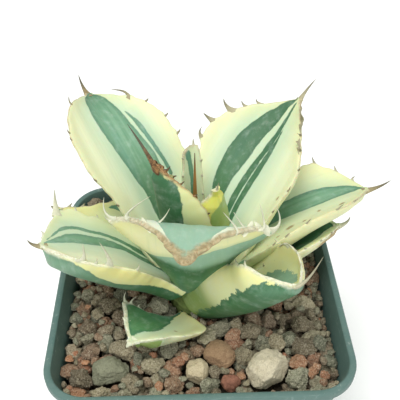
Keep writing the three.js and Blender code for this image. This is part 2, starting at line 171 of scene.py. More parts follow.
class Mesh:
    """Points in millimetres, faces and painted numbers that end up in one piece"""

    def __init__(self):
        self.points = []
        self.faces = []
        self.count = 0
        self.paints = {}

    def add(self, points, faces, **paints):
        self.points.append(np.asarray(points, float).reshape(-1, 3))
        self.faces.extend([tuple(int(i) + self.count for i in face) for face in faces])
        self.count += len(self.points[-1])
        for name, values in paints.items():
            self.paints.setdefault(name, []).append(np.asarray(values, float).reshape(-1, 3))

    def add_tube(self, rings, **paints):
        """Rings of equally many points, joined up and closed over both ends"""
        rings = np.asarray(rings, float)
        self.add(rings, tube_faces(*rings.shape[:2]), **paints)

    def data(self, name):
        mesh = bpy.data.meshes.new(name)
        mesh.from_pydata((np.vstack(self.points) * MM).tolist(), [], self.faces)
        return mesh

    def piece(self, name, material, nodes, crease=40):
        mesh = self.data(name)
        for paint_name, values in self.paints.items():
            layer = mesh.attributes.new(paint_name, "FLOAT_VECTOR", "POINT")
            layer.data.foreach_set("vector", np.vstack(values).ravel())
        mesh.polygons.foreach_set("use_smooth", [True] * len(mesh.polygons))
        mesh.set_sharp_from_angle(angle=math.radians(crease))
        mesh.materials.append(material)
        made = placed(name, mesh)
        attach(made, "root")
        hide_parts(*nodes)
        return made


def tube_faces(rings, count):
    """Faces between rings of equally many points, and over both ends"""
    faces = []
    for r in range(rings - 1):
        for i in range(count):
            j = (i + 1) % count
            faces.append((r * count + i, r * count + j, (r + 1) * count + j, (r + 1) * count + i))
    faces.append(tuple(range(count - 1, -1, -1)))
    faces.append(tuple((rings - 1) * count + i for i in range(count)))
    return faces


POT_HEIGHT = 80
RIM_SIDE = 90.4
MOUTH_SIDE = 86
FOOT_SIDE = 64
WALL = 1.3
FLOOR = 2
# Corner radii of the rim outside, and of the cavity at its mouth and at the floor
RIM_CORNER = 13
MOUTH_CORNER = 10.8
FLOOR_CORNER = 7.7
# The thin rim has sprung wider by this share where it is 45 mm in front of the middle
RIM_SPRING = 0.021
DRAIN_RADIUS = 3.5
DRAIN_PLACE = 19
QUARTERS = ((1, 1), (-1, 1), (-1, -1), (1, -1))
CORNER_STEPS = 14


def square_ring(side, corner, z):
    """Points round a square with rounded corners"""
    ring = []
    for quarter, (x_sign, y_sign) in enumerate(QUARTERS):
        for step in range(CORNER_STEPS + 1):
            turn = (quarter + step / CORNER_STEPS) * math.pi / 2
            ring.append((x_sign * (side / 2 - corner) + corner * math.cos(turn),
                         y_sign * (side / 2 - corner) + corner * math.sin(turn), z))
    return ring


def cavity_side(z):
    return FOOT_SIDE - 2 * WALL + (MOUTH_SIDE - FOOT_SIDE + 2 * WALL) * (z - FLOOR) / (POT_HEIGHT - FLOOR)


def cavity_corner(z):
    return FLOOR_CORNER + (MOUTH_CORNER - FLOOR_CORNER) * (z - FLOOR) / (POT_HEIGHT - FLOOR)


def sprung(y, z):
    """How wide the wall has sprung, most at the rim, and narrower behind the middle"""
    return 1 - RIM_SPRING * (z / POT_HEIGHT) ** 2 * y / 45


# The wall's profile from the foot up the outside, over the rolled rim and down the inside
outer_rows = [(FOOT_SIDE - 1.6, 8.4, 0), (FOOT_SIDE - 0.7, 8.7, 0.15), (FOOT_SIDE - 0.1, 9, 0.6)]
for z in (1.2, 15, 30, 45, 60, 68, 74, 76.2):
    outer_rows.append((cavity_side(z) + 2 * WALL, cavity_corner(z) + WALL, z))
outer_rows += [(cavity_side(76.8) + 2 * WALL + 0.5, 12.2, 76.9), (RIM_SIDE - 0.7, 12.7, 77)]
outer_rows += [(RIM_SIDE, RIM_CORNER, z) for z in (77.3, 78.2, 79.2)]
lip_rows = [(RIM_SIDE - 0.25, 12.9, 79.65), (RIM_SIDE - 0.9, 12.6, 79.95), (RIM_SIDE - 2, 12, POT_HEIGHT)]
inner_rows = [(MOUTH_SIDE + 1, 11.3, 79.95), (MOUTH_SIDE + 0.3, 10.9, 79.7), (MOUTH_SIDE, MOUTH_CORNER, 79.2)]
for z in (76, 72, 66, 50, 34, 18, 6):
    inner_rows.append((cavity_side(z), cavity_corner(z), z))
inner_rows += [(cavity_side(3) - 0.4, FLOOR_CORNER, 2.6), (cavity_side(FLOOR) - 1.6, 7.2, FLOOR)]
pot_points = np.array([square_ring(*row) for row in outer_rows + lip_rows + inner_rows])
# The zone's first number marks the inner wall, painted darker as painted shade, and its second the top of the
# rolled rim, painted lighter as a painted highlight
pot_zone = np.zeros(pot_points.shape)
pot_zone[-len(inner_rows):, :, 0] = 1
pot_zone[len(outer_rows):-len(inner_rows), :, 1] = 1
pot_points[..., 0] *= sprung(pot_points[..., 1], pot_points[..., 2])
pot_mesh = Mesh()
pot_mesh.add_tube(pot_points, zone=pot_zone)

plastic = Finish("slate_green_polypropylene", specular=0.4)
spot = plastic.here()
height = plastic.node("ShaderNodeSeparateXYZ", {}, {0: spot}, 2)
clouds = plastic.grain(spot, 0.05, 4.0)
speckle = plastic.grain(spot, 1.6, 2.0)
dust = plastic.grain(spot, 0.35, 6.0, 0.7)
sideways = plastic.stretched(spot, (0.25, 0.25, 2.4))
upright = plastic.stretched(spot, (1.6, 1.6, 0.12))
scratches = plastic.rise(plastic.grain(sideways, 1.0), 0.63, 0.7).most(
    plastic.rise(plastic.grain(upright, 1.0), 0.64, 0.71))
chalk = plastic.rise(dust, 0.62, 0.72) * plastic.rise(height, 60.0, 78.0) * plastic.rise(speckle, 0.4, 0.6)
wall_shade_share, lip_highlight = plastic.painted("zone")[:2]
# The inner wall is painted a darker, streaked green: painted shade inside the pot
painted_wall_shade = plastic.mix(plastic.grain(upright, 0.5), (42, 56, 44), (92, 106, 86))
slate = plastic.coats(
    plastic.mix(clouds, (70, 98, 93), (92, 120, 113)),
    # The top of the rolled rim is painted lighter: a painted highlight
    (lip_highlight * 0.4, (140, 164, 150)),
    (wall_shade_share, painted_wall_shade),
    (scratches * 0.35, (132, 152, 147)),
    (chalk * 0.7, (196, 204, 196)),
    (plastic.rise(dust, 0.35, 0.75) * 0.22, (120, 134, 126)))
wear = scratches * -0.3 + speckle * 0.3 + chalk * 0.6
pot_finish = plastic.shine(slate, 0.42 + 0.25 * dust + 0.2 * chalk, wear, 0.06)
pot = pot_mesh.piece("pot_shell", pot_finish, ["pot"], 32)

# The four drain holes are punched by core pins in the mould
pins = Mesh()
for x_sign, y_sign in QUARTERS:
    pin = [(x_sign * DRAIN_PLACE + DRAIN_RADIUS * math.cos(a * math.pi / 16),
            y_sign * DRAIN_PLACE + DRAIN_RADIUS * math.sin(a * math.pi / 16)) for a in range(32)]
    pins.add_tube([[(x, y, z) for x, y in pin] for z in (-4, 6)])
pin_object = placed("core_pins", pins.data("core_pins"))
cut = pot.modifiers.new("drains", "BOOLEAN")
cut.operation = "DIFFERENCE"
cut.solver = "EXACT"
cut.object = pin_object
drilled = bpy.data.meshes.new_from_object(pot.evaluated_get(bpy.context.evaluated_depsgraph_get()))
pot.modifiers.clear()
pot.data = drilled
bpy.data.objects.remove(pin_object)


# Stem
# The short trunk of the plant, rooted in the gravel. It is dry fibrous tissue, ringed by the scars
# of shed leaves, and the leaf bases hide nearly all of it.
STEM_FOOT = 58
STEM_TOP = 86

stem_rows = []
for i in range(60):
    z = STEM_FOOT + (STEM_TOP - STEM_FOOT) * (i / 59)
    radius = np.interp(z, [STEM_FOOT, 66, 74, 81, STEM_TOP], [5.4, 9, 9, 5.94, 3.6]) - 0.25 * (i % 5 == 0)
    ring = []
    for a in range(72):
        reach = radius + 0.12 * math.sin(a * 1.7)
        ring.append((math.cos(a * math.pi / 36) * reach, math.sin(a * math.pi / 36) * reach, z))
    stem_rows.append(ring)
stem_mesh = Mesh()
stem_mesh.add_tube(stem_rows)
fibre = Finish("dry_stem_fibre", specular=0.2)
strands = fibre.grain(fibre.stretched(fibre.here(), (1.5, 1.5, 0.2)), 1.0, 5.0, 0.7)
husk = fibre.mix(strands, (92, 114, 62), (146, 164, 96))
stem_mesh.piece("stem_core", fibre.shine(husk, 0.7 + 0.25 * strands, strands, 0.3), ["stem"])


# Centre bud
# The next leaves, still furled round each other into one spindle, with the outermost one's
# red-brown spine standing on top. The seams between the furled leaves wind round it.
BUD_FOOT = 88
BUD_TOP = 129
BUD_MIDDLE = (-0.5, 3.5)
SEAMS_END = 113

# The bud ages upwards, from fresh leaf at 0 to the spine's point at 1
FRESH_BELOW = 102
bud_rows = []
bud_age = []
for i in range(90):
    z = BUD_FOOT + (BUD_TOP - BUD_FOOT) * i / 89
    radius = np.interp(z, [BUD_FOOT, 98, 104, 109, 114, BUD_TOP], [2.9, 3.5, 2.3, 0.95, 0.62, 0.1])
    ring = []
    for a in range(48):
        turn = a * math.pi / 24
        seam = abs(math.sin(1.5 * turn + (z - BUD_FOOT) * 0.07))
        groove = 0.28 * radius / 3.6 * (1 - min(seam / 0.22, 1)) if z < SEAMS_END else 0
        reach = radius - groove
        ring.append((BUD_MIDDLE[0] + reach * math.cos(turn), BUD_MIDDLE[1] + reach * math.sin(turn), z))
        bud_age.append(((z - FRESH_BELOW) / (BUD_TOP - FRESH_BELOW), 0, 0))
    bud_rows.append(ring)
bud_mesh = Mesh()
bud_mesh.add_tube(bud_rows, age=bud_age)
furled = Finish("furled_leaves_and_spine", specular=0.4)
age = furled.painted("age")[0]
streaks = furled.grain(furled.stretched(furled.here(), (1.2, 1.2, 0.1)), 1.0)
husk = furled.mix(streaks, (132, 88, 44), (188, 144, 84))
furled_color = furled.coats(
    furled.mix(streaks, (214, 214, 120), (178, 194, 108)),
    (furled.rise(age, 0.05, 0.3), husk),
    (furled.rise(age, 0.7, 1.0), (88, 58, 44)))
furled_finish = furled.shine(furled_color, 0.45 + 0.2 * streaks, streaks, 0.1)
bud_mesh.piece("bud_spindle", furled_finish, ["centre_bud"])


# Leaves
# Fifteen stiff succulent leaves grow from the stem in a spiral, the oldest lowest. The waxy skin is
# cream with blue-green stripes along the leaf, and a corky horn border runs round each margin and
# carries the teeth and the end spine, all one growth with the blade.
GRAVEL_LEVEL = 72
EDGE_THICKNESS = 1.2
RIB_STEPS = 240
RINGS = 120
COLUMNS = 47


def along(values, place):
    """The value at a place of a list spread evenly from foot to tip, on a smooth curve"""
    row = np.array([2 * values[0] - values[1], *values, 2 * values[-1] - values[-2]], float)
    spans = len(values) - 1
    place = np.asarray(place, float)
    span = np.minimum((place * spans).astype(int), spans - 1)
    f = place * spans - span
    a, b, c, d = row[span], row[span + 1], row[span + 2], row[span + 3]
    second, third = 2 * a - 5 * b + 4 * c - d, 3 * b - a - 3 * c + d
    return 0.5 * (2 * b + (c - a) * f + second * f ** 2 + third * f ** 3)


class Blade:
    """The curved face of a leaf: place runs from foot 0 to tip 1, u from the right edge -1 to the left 1

    azimuth is where it grows on the stem, and foot the distance from the stem's axis and the height
    above the gravel's level. From foot to tip, lift is its slope, turn its bend to the left, roll its
    twist, left and right its half widths, cup how far each half curls up, and thick its thickness.
    Angles are in degrees. A blunt leaf ends in a round arc of so much of its length.
    """

    def __init__(self, azimuth, foot, length, lift, left, right, cup, thick, turn=(0, 0), roll=(0, 0),
                 blunt=0.0):
        self.azimuth, self.length, self.blunt = azimuth, length, blunt
        self.lift, self.turn, self.roll = lift, turn, roll
        self.left, self.right, self.cup, self.thick = left, right, cup, thick
        self.marks = np.linspace(0, 1, RIB_STEPS + 1)
        ahead = self.ahead(self.marks)
        way = math.radians(azimuth)
        start = np.array([foot[0] * math.cos(way), foot[0] * math.sin(way), GRAVEL_LEVEL + foot[1]])
        steps = 0.5 * (ahead[1:] + ahead[:-1]) * length / RIB_STEPS
        self.rib = np.vstack([start, start + np.cumsum(steps, 0)])

    def ahead(self, place):
        lift = np.radians(along(self.lift, place))
        heading = np.radians(self.azimuth + along(self.turn, place))
        return np.stack([np.cos(lift) * np.cos(heading), np.cos(lift) * np.sin(heading), np.sin(lift)], -1)

    def midrib(self, place):
        place = np.asarray(place, float)
        point = np.stack([np.interp(place, self.marks, self.rib[:, axis]) for axis in range(3)], -1)
        ahead = self.ahead(place)
        heading = np.radians(self.azimuth + along(self.turn, place))
        flat = np.stack([-np.sin(heading), np.cos(heading), 0 * heading], -1)
        roll = np.radians(along(self.roll, place))[..., None]
        left = np.cos(roll) * flat + np.sin(roll) * np.cross(ahead, flat)
        return point, ahead, left, np.cross(ahead, left)

    def half(self, place, u):
        """Half the width on u's side"""
        straight = np.minimum(place, 1 - self.blunt)
        width = np.where(np.asarray(u) > 0, along(self.left, straight), along(self.right, straight))
        if self.blunt:
            width = width * np.sqrt(np.maximum(1 - ((place - straight) / self.blunt) ** 2, 0))
        return np.maximum(width, 1.0)

    def spot(self, place, u):
        point, ahead, left, up = self.midrib(place)
        half = self.half(place, u)
        cup = np.maximum(np.radians(along(self.cup, place)), 0.02)
        angle = (cup * u)[..., None]
        reach = (half / cup)[..., None]
        point = point + left * reach * np.sin(angle) + up * reach * (1 - np.cos(angle))
        across = left * np.cos(angle) + up * np.sin(angle)
        middle = np.minimum(along(self.thick, place), np.maximum(EDGE_THICKNESS, 0.9 * half))
        thickness = EDGE_THICKNESS + (np.maximum(middle, EDGE_THICKNESS) - EDGE_THICKNESS) * (1 - u ** 2)
        return point, ahead, across, np.cross(ahead, across), thickness


def stripe_edges(blade, stripes, place, u):
    """How far inside each stripe's lower and upper edge a point lies, in mm; below 0 is outside"""
    low = np.full((*place.shape, 3), -60.0)
    high = np.full((*place.shape, 3), -60.0)
    across = blade.half(place, u) * u
    # A short moving average rounds the corners between the stripe's rows
    marks = np.linspace(0, 1, 201)
    window = np.hanning(13) / np.hanning(13).sum()
    for index, stripe in enumerate(stripes):
        rows = np.array(stripe, float)
        beyond = np.maximum(np.maximum(rows[0, 0] - place, place - rows[-1, 0]), 0) * blade.length
        for side, column in ((low, 1), (high, 2)):
            edge = np.interp(marks, rows[:, 0], rows[:, column])
            edge = np.convolve(np.pad(edge, 6, mode="edge"), window, mode="valid")
            edge = np.interp(place, marks, edge)
            edge = blade.half(place, edge) * edge
            gap = across - edge if column == 1 else edge - across
            side[..., index] = gap - beyond
    return low, high


def horn_cone(mesh, path, width, depth, side, wear, flare, sections=16, sides=10):
    """A tapering horn along three points: root, bend and tip; width runs along side, depth across it"""
    root, bend, tip = [np.asarray(p, float) for p in path]
    pull = 2 * bend - (root + tip) / 2
    rings = []
    marks = []
    for share in np.linspace(0, 1, sections):
        middle = (1 - share) ** 2 * root + 2 * share * (1 - share) * pull + share ** 2 * tip
        axis = 2 * (1 - share) * (pull - root) + 2 * share * (tip - pull)
        axis = axis / np.linalg.norm(axis)
        along_edge = side - axis * np.dot(side, axis)
        along_edge = along_edge / np.linalg.norm(along_edge)
        thin = np.cross(axis, along_edge)
        taper = (1 - share) ** 0.75 * 0.94 + 0.06
        wide = width * taper * (1 + flare * (1 - share) ** 3)
        deep = depth * taper * (1 + 0.25 * (1 - share) ** 4)
        for a in range(sides):
            turn = a * 2 * math.pi / sides
            rings.append(middle + along_edge * wide * math.cos(turn) + thin * deep * math.sin(turn))
            marks.append((share, wear, 0))
    mesh.add(rings, tube_faces(sections, sides), wear=marks)


def add_teeth(mesh, blade, side, teeth, wear, flare):
    """Teeth that lean towards the tip and rise off the blade by so many degrees; crook bows them outwards"""
    for place, length, lean, rise, *crook in teeth:
        point, ahead, across, normal, thickness = blade.spot(np.float64(place), np.float64(side))
        outward = across * side
        lean, rise = math.radians(lean), math.radians(rise)
        level = outward * math.cos(lean) + ahead * math.sin(lean)
        heading = level * math.cos(rise) + normal * math.sin(rise)
        edge = point - normal * thickness / 2
        bow = crook[0] if crook else 0.0
        bend = edge + (outward * 0.22 * (1 - bow) + heading * 0.3 * (1 - bow) + level * 0.62 * bow) * length
        width, depth = min(max(0.15 * length, 0.42), 0.72), min(max(0.09 * length, 0.34), 0.5)
        path = (edge - outward * 1.0, bend, edge + heading * length)
        horn_cone(mesh, path, width, depth, ahead, wear, flare)


def add_spine(mesh, blade, wear, length, turn, lift, radius=0.86):
    """The end spine, which turns to the left and lifts off the midrib's line by so many degrees"""
    point, ahead, left, up = blade.midrib(np.float64(1))
    turn, lift = math.radians(turn), math.radians(lift)
    level = ahead * math.cos(turn) + left * math.sin(turn)
    heading = level * math.cos(lift) + up * math.sin(lift)
    middle = point - up * 0.75
    bend = middle + ahead * 0.18 * length + heading * 0.2 * length
    path = (middle - ahead * 2.2, bend, middle + heading * length)
    horn_cone(mesh, path, radius, radius * 0.86, left, wear, 1.6, 24, 14)


def add_flap(mesh, blade, side, first, last, width, curl, wear):
    """A dry strip of horn border that has come away and curls up from the margin"""
    rows, steps = 26, 9
    points = []
    for layer in (0, 1):
        for i in range(rows):
            share = i / (rows - 1)
            place = first + (last - first) * share
            point, ahead, across, normal, thickness = blade.spot(np.float64(place), np.float64(side))
            arch = math.sin(math.pi * min(max(share, 0.04), 0.96)) ** 0.6
            reach = width * arch * (1 + 0.25 * math.sin(share * 19 + width))
            outward = across * side
            edge = point - normal * thickness / 2 - outward * 0.5
            for j in range(steps):
                angle = math.radians(curl) * j / (steps - 1) + 0.25 * math.sin(share * 11)
                edge = edge + (outward * math.cos(angle) + normal * math.sin(angle)) * reach / (steps - 1)
                shift = (normal * math.cos(angle) - outward * math.sin(angle)) * (0.15 if layer else -0.15)
                points.append(edge + shift * (1 - 0.6 * j / (steps - 1)))
    top = rows * steps
    faces = []
    for i in range(rows - 1):
        for j in range(steps - 1):
            a = i * steps + j
            faces.append((a, a + 1, a + steps + 1, a + steps))
            faces.append((top + a, top + a + steps, top + a + steps + 1, top + a + 1))
        for a, b in ((i * steps, (i + 1) * steps), ((i + 1) * steps + steps - 1, i * steps + steps - 1)):
            faces.append((a, b, top + b, top + a))
    for j in range(steps - 1):
        faces.append((j + 1, j, top + j, top + j + 1))
        a = (rows - 1) * steps + j
        faces.append((a, a + 1, top + a + 1, top + a))
    mesh.add(points, faces, wear=[(0.35 + 0.1 * math.sin(k), wear, 0) for k in range(len(points))])


# Leaf skin: stripe edges, border and tone come painted on the mesh, fine streaks run along the leaf
skin = Finish("waxy_leaf_skin", specular=0.35, subsurface=0.12)
lay_x, lay_y, lay_z = skin.painted("lay")
low = skin.painted("low")
high = skin.painted("high")
edge, border, ragged = skin.painted("rim")
warm, deep, scar = skin.painted("tone")
pallor, husk_tone, border_width = skin.painted("kind")
lengthwise = skin.place(lay_x * 0.8, lay_y * 0.035, lay_z * 0.5)
broad = skin.place(lay_x * 0.16, lay_y * 0.03, lay_z * 0.3)
blotch = skin.place(lay_x * 0.4, lay_y * 0.3, lay_z * 0.5)
streak = skin.grain(lengthwise, 1.0, 4.0, 0.65)
cloud = skin.grain(broad, 1.0, 2.0)
mottle = skin.grain(blotch, 1.0, 5.0, 0.6)
inside = low[0].least(high[0]).most(low[1].least(high[1])).most(low[2].least(high[2]))
inside = inside + (streak - 0.5) * 0.5 + (mottle - 0.5) * 4.0 * ragged
green_share = skin.rise(inside, -0.16, 0.2)
green_edge = 1 - skin.rise(inside, 0.1, 1.6)
mist = skin.rise(inside, -9.0, 0.5) * (0.5 + 0.7 * cloud)
margin_glow = (1 - skin.rise(edge, 0.6, 7.0)) * 0.22
cream = skin.coats(
    skin.mix(mist, (222, 228, 190), (172, 198, 170)),
    (skin.rise(0 - warm, 0.0, 1.0) * 0.7, (226, 232, 218)),
    ((warm.most(0.0) * (0.4 + 0.5 * cloud) + margin_glow).least(0.95), (220, 213, 134)),
    (skin.rise(warm, 1.4, 2.2), (202, 203, 84)),
    (skin.rise(streak, 0.55, 0.8) * 0.3, (182, 203, 160)),
    (skin.rise(0 - pallor, 0.0, 1.0), (126, 148, 84)))
leaf_green = skin.coats(
    skin.mix(skin.rise(streak, 0.3, 0.7), (98, 144, 112), (126, 166, 136)),
    ((1 - skin.rise(lay_y, 18.0, 46.0)) * 0.7, (80, 132, 70)),
    (green_edge * 0.6, (64, 108, 84)),
    (skin.rise(cloud, 0.48, 0.72) * 0.4, (86, 138, 126)),
    # The deep coat is partly the green's own darker tone and partly painted shade
    (skin.rise(deep, 0.0, 1.0) * 0.85, (40, 88, 48)),
    (skin.rise(0 - deep, 0.0, 1.0), (160, 182, 92)),
    (skin.rise(mottle, 0.6, 0.8) * 0.25, (146, 184, 162)),
    (pallor, (154, 186, 162)))
frayed = (border + (mottle - 0.5) * (0.3 + 0.45 * border_width)) * (1 - 0.12 * border_width)
crust = skin.rise(frayed, -0.25, 0.4)
crumble = skin.grain(blotch, 2.4, 5.0, 0.6)
brown_crust = skin.mix(skin.rise(crumble, 0.3, 0.7), (132, 114, 76), (176, 158, 116))
rust_crust = skin.mix(skin.rise(crumble, 0.35, 0.6), (84, 60, 34), (172, 134, 90))
crust_color = skin.coats(
    skin.mix(skin.rise(crumble, 0.35, 0.65), (200, 202, 170), (232, 234, 212)),
    (husk_tone, brown_crust),
    (skin.rise(husk_tone, 0.9, 2.0), rust_crust))
scab = skin.rise(scar + (mottle - 0.5) * 0.8, 0.15, 0.55)
skin_color = skin.coats(
    skin.mix(green_share, cream, leaf_green),
    (skin.rise(mottle, 0.45, 0.75) * 0.15, (214, 222, 214)),
    (crust, crust_color),
    (scab * 0.85, (158, 132, 92)))
dull = 0.44 + 0.12 * mottle + 0.35 * crust + 0.2 * scab
relief = streak * 0.35 + crust * (0.1 + 0.6 * skin.grain(blotch, 6.0, 4.0)) + scab * 0.4
skin_finish = skin.shine(skin_color, dull, relief, 0.22)

# Horn of teeth, spines and flaps: wear holds the share of the way to the point, and how brown it is
horn = Finish("dry_leaf_horn", specular=0.35)
reach, brown = horn.painted("wear")[:2]
fleck = horn.grain(horn.here(), 0.9, 4.0, 0.6)
tan = horn.mix(fleck, (170, 158, 116), (104, 90, 60))
rust = horn.mix(horn.rise(fleck, 0.35, 0.65), (158, 118, 72), (78, 54, 32))
horn_color = horn.coats(
    horn.mix(fleck, (232, 234, 212), (198, 200, 170)),
    (brown, tan),
    (horn.rise(brown, 1.0, 1.8), rust),
    (horn.rise(reach, 0.2, 0.85) * (0.2 + 0.65 * brown), (82, 78, 60)))
horn_finish = horn.shine(horn_color, 0.5 + 0.3 * fleck, fleck, 0.12)

undersides = []


def both(upper, under=None):
    """The grids of the two faces as one that runs round the leaf; they share the columns at its margins"""
    under = upper if under is None else under
    return np.concatenate([upper, under[:, -2:0:-1]], axis=1)


def with_ends(grid):
    """The grid's points, and the middles of its first and last rings"""
    return np.vstack([grid.reshape(-1, 3), grid[0].mean(0), grid[-1].mean(0)])


def grow_leaf(name, upper, under, left_teeth, right_teeth, spine=None, flaps=(), scars=(), flare=1.6,
              border=((0.05, 0.1, 0.2, 0.5), (0.05, 0.1, 0.2, 0.5)), warm=(0.2, 0.3, 0.5), deep=(0.2, 0.2),
              pale=(0, 0), husk=(0.7, 0.7), ragged=0.3, dry=0.7, aged=None, below=None, **shape):
    """One leaf in two pieces, the blade and its horn; lists run from foot to tip, and for shape see Blade

    upper, under: the green stripes of the two faces, as rows of (place, low u, high u)
    left_teeth, right_teeth: (place, length, lean, rise, crook); flare: how far their feet widen
    spine: (length, turn, lift, radius); flaps: (side, first place, last place, width, curl)
    scars: (place, u, radius in mm), on the under face if the radius is below 0
    border: width of the corky margin in mm, left and right; husk: 0 papery pale, 1 brown, 2 rust brown
    warm: how yellow the cream is, whiter below 0 and strong yellow above 1.4
    deep: how dark the green is, and yellow-green below 0, where the dark is partly the green's own tone and
    partly painted shade on leaves that lie in shadow; ragged: how frayed its edges are, in mm
    pale: bluish bloom on the green, and below 0 a green blush on the cream
    dry: how brown the horn is, from 0; aged: the same for the spine alone
    below: warm, deep and pale of the under face, and keel, how far its fold line falls to the margins; the
    under face's deep and pale run along the fold line, which parts painted shade from a painted lit band
    """
    number = len(undersides)
    blade = Blade(**shape)
    chance = np.random.default_rng(100 + number)
    rows = 1 - (1 - np.linspace(0, 1, RINGS)) ** 1.25
    columns = np.sin(np.linspace(-1, 1, COLUMNS) * math.pi / 2)
    place, u = np.meshgrid(rows, columns, indexing="ij")
    point, _ahead, across, normal, full = blade.spot(place, u)
    half = blade.half(place, u)
    corky = np.where(u > 0, along(border[0], place), along(border[1], place))

    # The margin swells at the foot of each tooth and is a little wavy between them
    swell = np.zeros_like(place)
    for side, teeth in ((1, left_teeth), (-1, right_teeth)):
        for where, length, *_aim in teeth:
            bulge = min(0.3 + 0.1 * length, 0.8) * np.exp(-((place - where) * blade.length / 1.7) ** 2)
            swell += np.where(u * side > 0, bulge, 0)
    waves = sum(np.sin(place * blade.length * pitch + chance.uniform(0, 6) + u) for pitch in (0.35, 0.8, 1.7))
    swell += 0.13 * waves * (1 + 0.8 * np.minimum(corky, 2)) * np.minimum(half / 6, 1)
    near_edge = np.abs(u) ** np.maximum(0.5 * half, 2)
    point = point + across * (np.sign(u) * swell * near_edge)[..., None]

    # A rounded edge, a slightly raised border and shallow furrows along the blade
    rounding = np.sqrt(np.maximum(1 - np.abs(u) ** np.maximum(1.4 * half, 2), 0))
    ridge = 0.16 * np.clip(corky / 1.5, 0, 1) * np.exp(-((half * (1 - np.abs(u)) - 0.9) / 0.7) ** 2)
    furrow = 0.1 * np.sin(half * u * 0.95 + chance.uniform(0, 6)) * (1 - np.abs(u) ** 6)
    furrow *= np.minimum(half / 8, 1)
    top = point + normal * (-(full - full * rounding) / 2 + (ridge + furrow) * rounding)[..., None]
    bottom = point - normal * ((full + full * rounding) / 2 + (ridge * 0.6 + furrow) * rounding)[..., None]
    undersides.append(bottom.reshape(-1, 3))

    # What the skin's material reads: three numbers at each point under each name
    lower = dict(warm=warm, deep=deep, pale=pale, keel=0) | (below or {})
    fold = np.clip(place - lower["keel"] * np.abs(u), 0, 1)
    low, high = map(both, stripe_edges(blade, upper, place, u), stripe_edges(blade, under, place, u))
    margin = np.minimum(half * (1 - np.abs(u)), (1 - place) * blade.length + 0.2)
    marks = [np.zeros_like(place), np.zeros_like(place)]
    for where, at, radius in scars:
        gap = np.hypot((place - where) * blade.length * 0.7, (u - at) * half)
        face = marks[0 if radius > 0 else 1]
        np.maximum(face, 1 - gap / abs(radius), out=face)
    depth = both(0 * full, 3 * rounding) + 40 * number
    grids = {
        "lay": (both(half * u), both(place * blade.length), depth),
        "rim": (both(margin), both((corky - margin) / (1 + 0.7 * corky)), both(0 * margin + ragged)),
        "tone": (both(along(warm, place), along(lower["warm"], place)),
                 both(along(deep, place), along(lower["deep"], fold)), both(*marks)),
        "kind": (both(along(pale, place), along(lower["pale"], fold)), both(along(husk, place)), both(corky))}
    paints = {"low": low, "high": high} | {key: np.stack(parts, -1) for key, parts in grids.items()}

    # Faces run so that they look outwards; a point closes the tube at the foot and at the tip
    ring = both(top, bottom)
    count = ring.shape[1]
    total = RINGS * count
    faces = []
    for r in range(RINGS - 1):
        for i in range(count):
            j = (i + 1) % count
            faces.append((r * count + i, (r + 1) * count + i, (r + 1) * count + j, r * count + j))
    for i in range(count):
        j = (i + 1) % count
        faces.append((total, i, j))
        faces.append((total + 1, (RINGS - 1) * count + j, (RINGS - 1) * count + i))
    blade_mesh = Mesh()
    blade_mesh.add(with_ends(ring), faces, **{key: with_ends(grid) for key, grid in paints.items()})
    blade_mesh.piece(name + "_blade", skin_finish, [name], 60)

    horn_mesh = Mesh()
    add_teeth(horn_mesh, blade, 1, left_teeth, dry, flare)
    add_teeth(horn_mesh, blade, -1, right_teeth, dry, flare)
    if spine:
        add_spine(horn_mesh, blade, dry if aged is None else aged, *spine)
    for flap in flaps:
        add_flap(horn_mesh, blade, *flap, dry)
    horn_mesh.piece(name + "_teeth", horn_finish, [name], 50)


grow_leaf(
    "leaf_young_front", azimuth=317, foot=(4, 15), length=36, lift=(84, 88, 80), roll=(-5, -5),
    left=(6, 8, 11, 9, 5.5, 0), right=(6, 8, 8, 6.5, 4, 0), cup=(69, 45, 70), thick=(4, 3.5, 2.5),
    spine=(3, 0, 0, 0.4),
    left_teeth=((0.47, 1.11, 0.3, 13.7), (0.62, 1.12, -23.4, 15.4), (0.77, 1.62, 35.6, 23.7),
        (0.88, 1.94, -11.6, 4.6)),
    right_teeth=((0.55, 1.27, 35.5, 13.4), (0.71, 1.94, 13.7, 10), (0.85, 1.21, -20.8, 1)),
    upper=(((0, -0.5, 0.5), (0.5, -0.4, 0.45), (1, -0.6, 0.6)),),
    under=(((0.2, -0.3, 0.9), (0.6, -0.45, 0.9), (0.8, -0.3, 0.8), (0.9, 0.2, 0.6)),),
    border=((0.1, 0.15, 0.25, 0.3), (0.1, 0.2, 0.3, 0.5)), warm=(1.2, 1.6, 2.1), deep=(-0.7, -0.7),
    husk=(0.1, 0.2, 0.3), ragged=0.5, dry=0.6, scars=((0.55, -0.3, -1.6),))
grow_leaf(
    "leaf_young_back", azimuth=92, foot=(4.5, 11.5), length=40, lift=(80, 73, 66),
    left=(6, 7, 5.5, 4, 3.6, 2.6), right=(6, 7, 4, 2.6, 2, 1.4), cup=(73, 80, 50), thick=(4, 3.5, 2.5),
    blunt=0.08, spine=(2, 0, 0, 0.4),
    left_teeth=((0.5, 1.08, 45, 13.3), (0.61, 1.05, 44.4, 13.7), (0.77, 1.34, 33.5, 10.1),
        (0.91, 1.53, 19.7, 8.2)),
    right_teeth=((0.53, 1.6, 12.2, 8.7), (0.62, 1, 20.4, 24.7), (0.77, 1.27, -9, 20.7),
        (0.88, 1.58, 42.9, 9.8)),
    upper=(((0.2, 0.05, 0.3), (0.74, 0.05, 0.35), (0.84, 0.1, 0.6), (0.95, 0.3, 0.9)),),
    under=(((0, -0.5, 0.5), (0.6, -0.5, 0.5), (1, -0.3, 0.3)),),
    border=((0, 0, 0, 0.05, 0.7), (0, 0, 0, 0, 0.2)), warm=(0.5, -0.2, 0.1), deep=(0, 0), husk=(0.6, 0.6),
    dry=0.45)
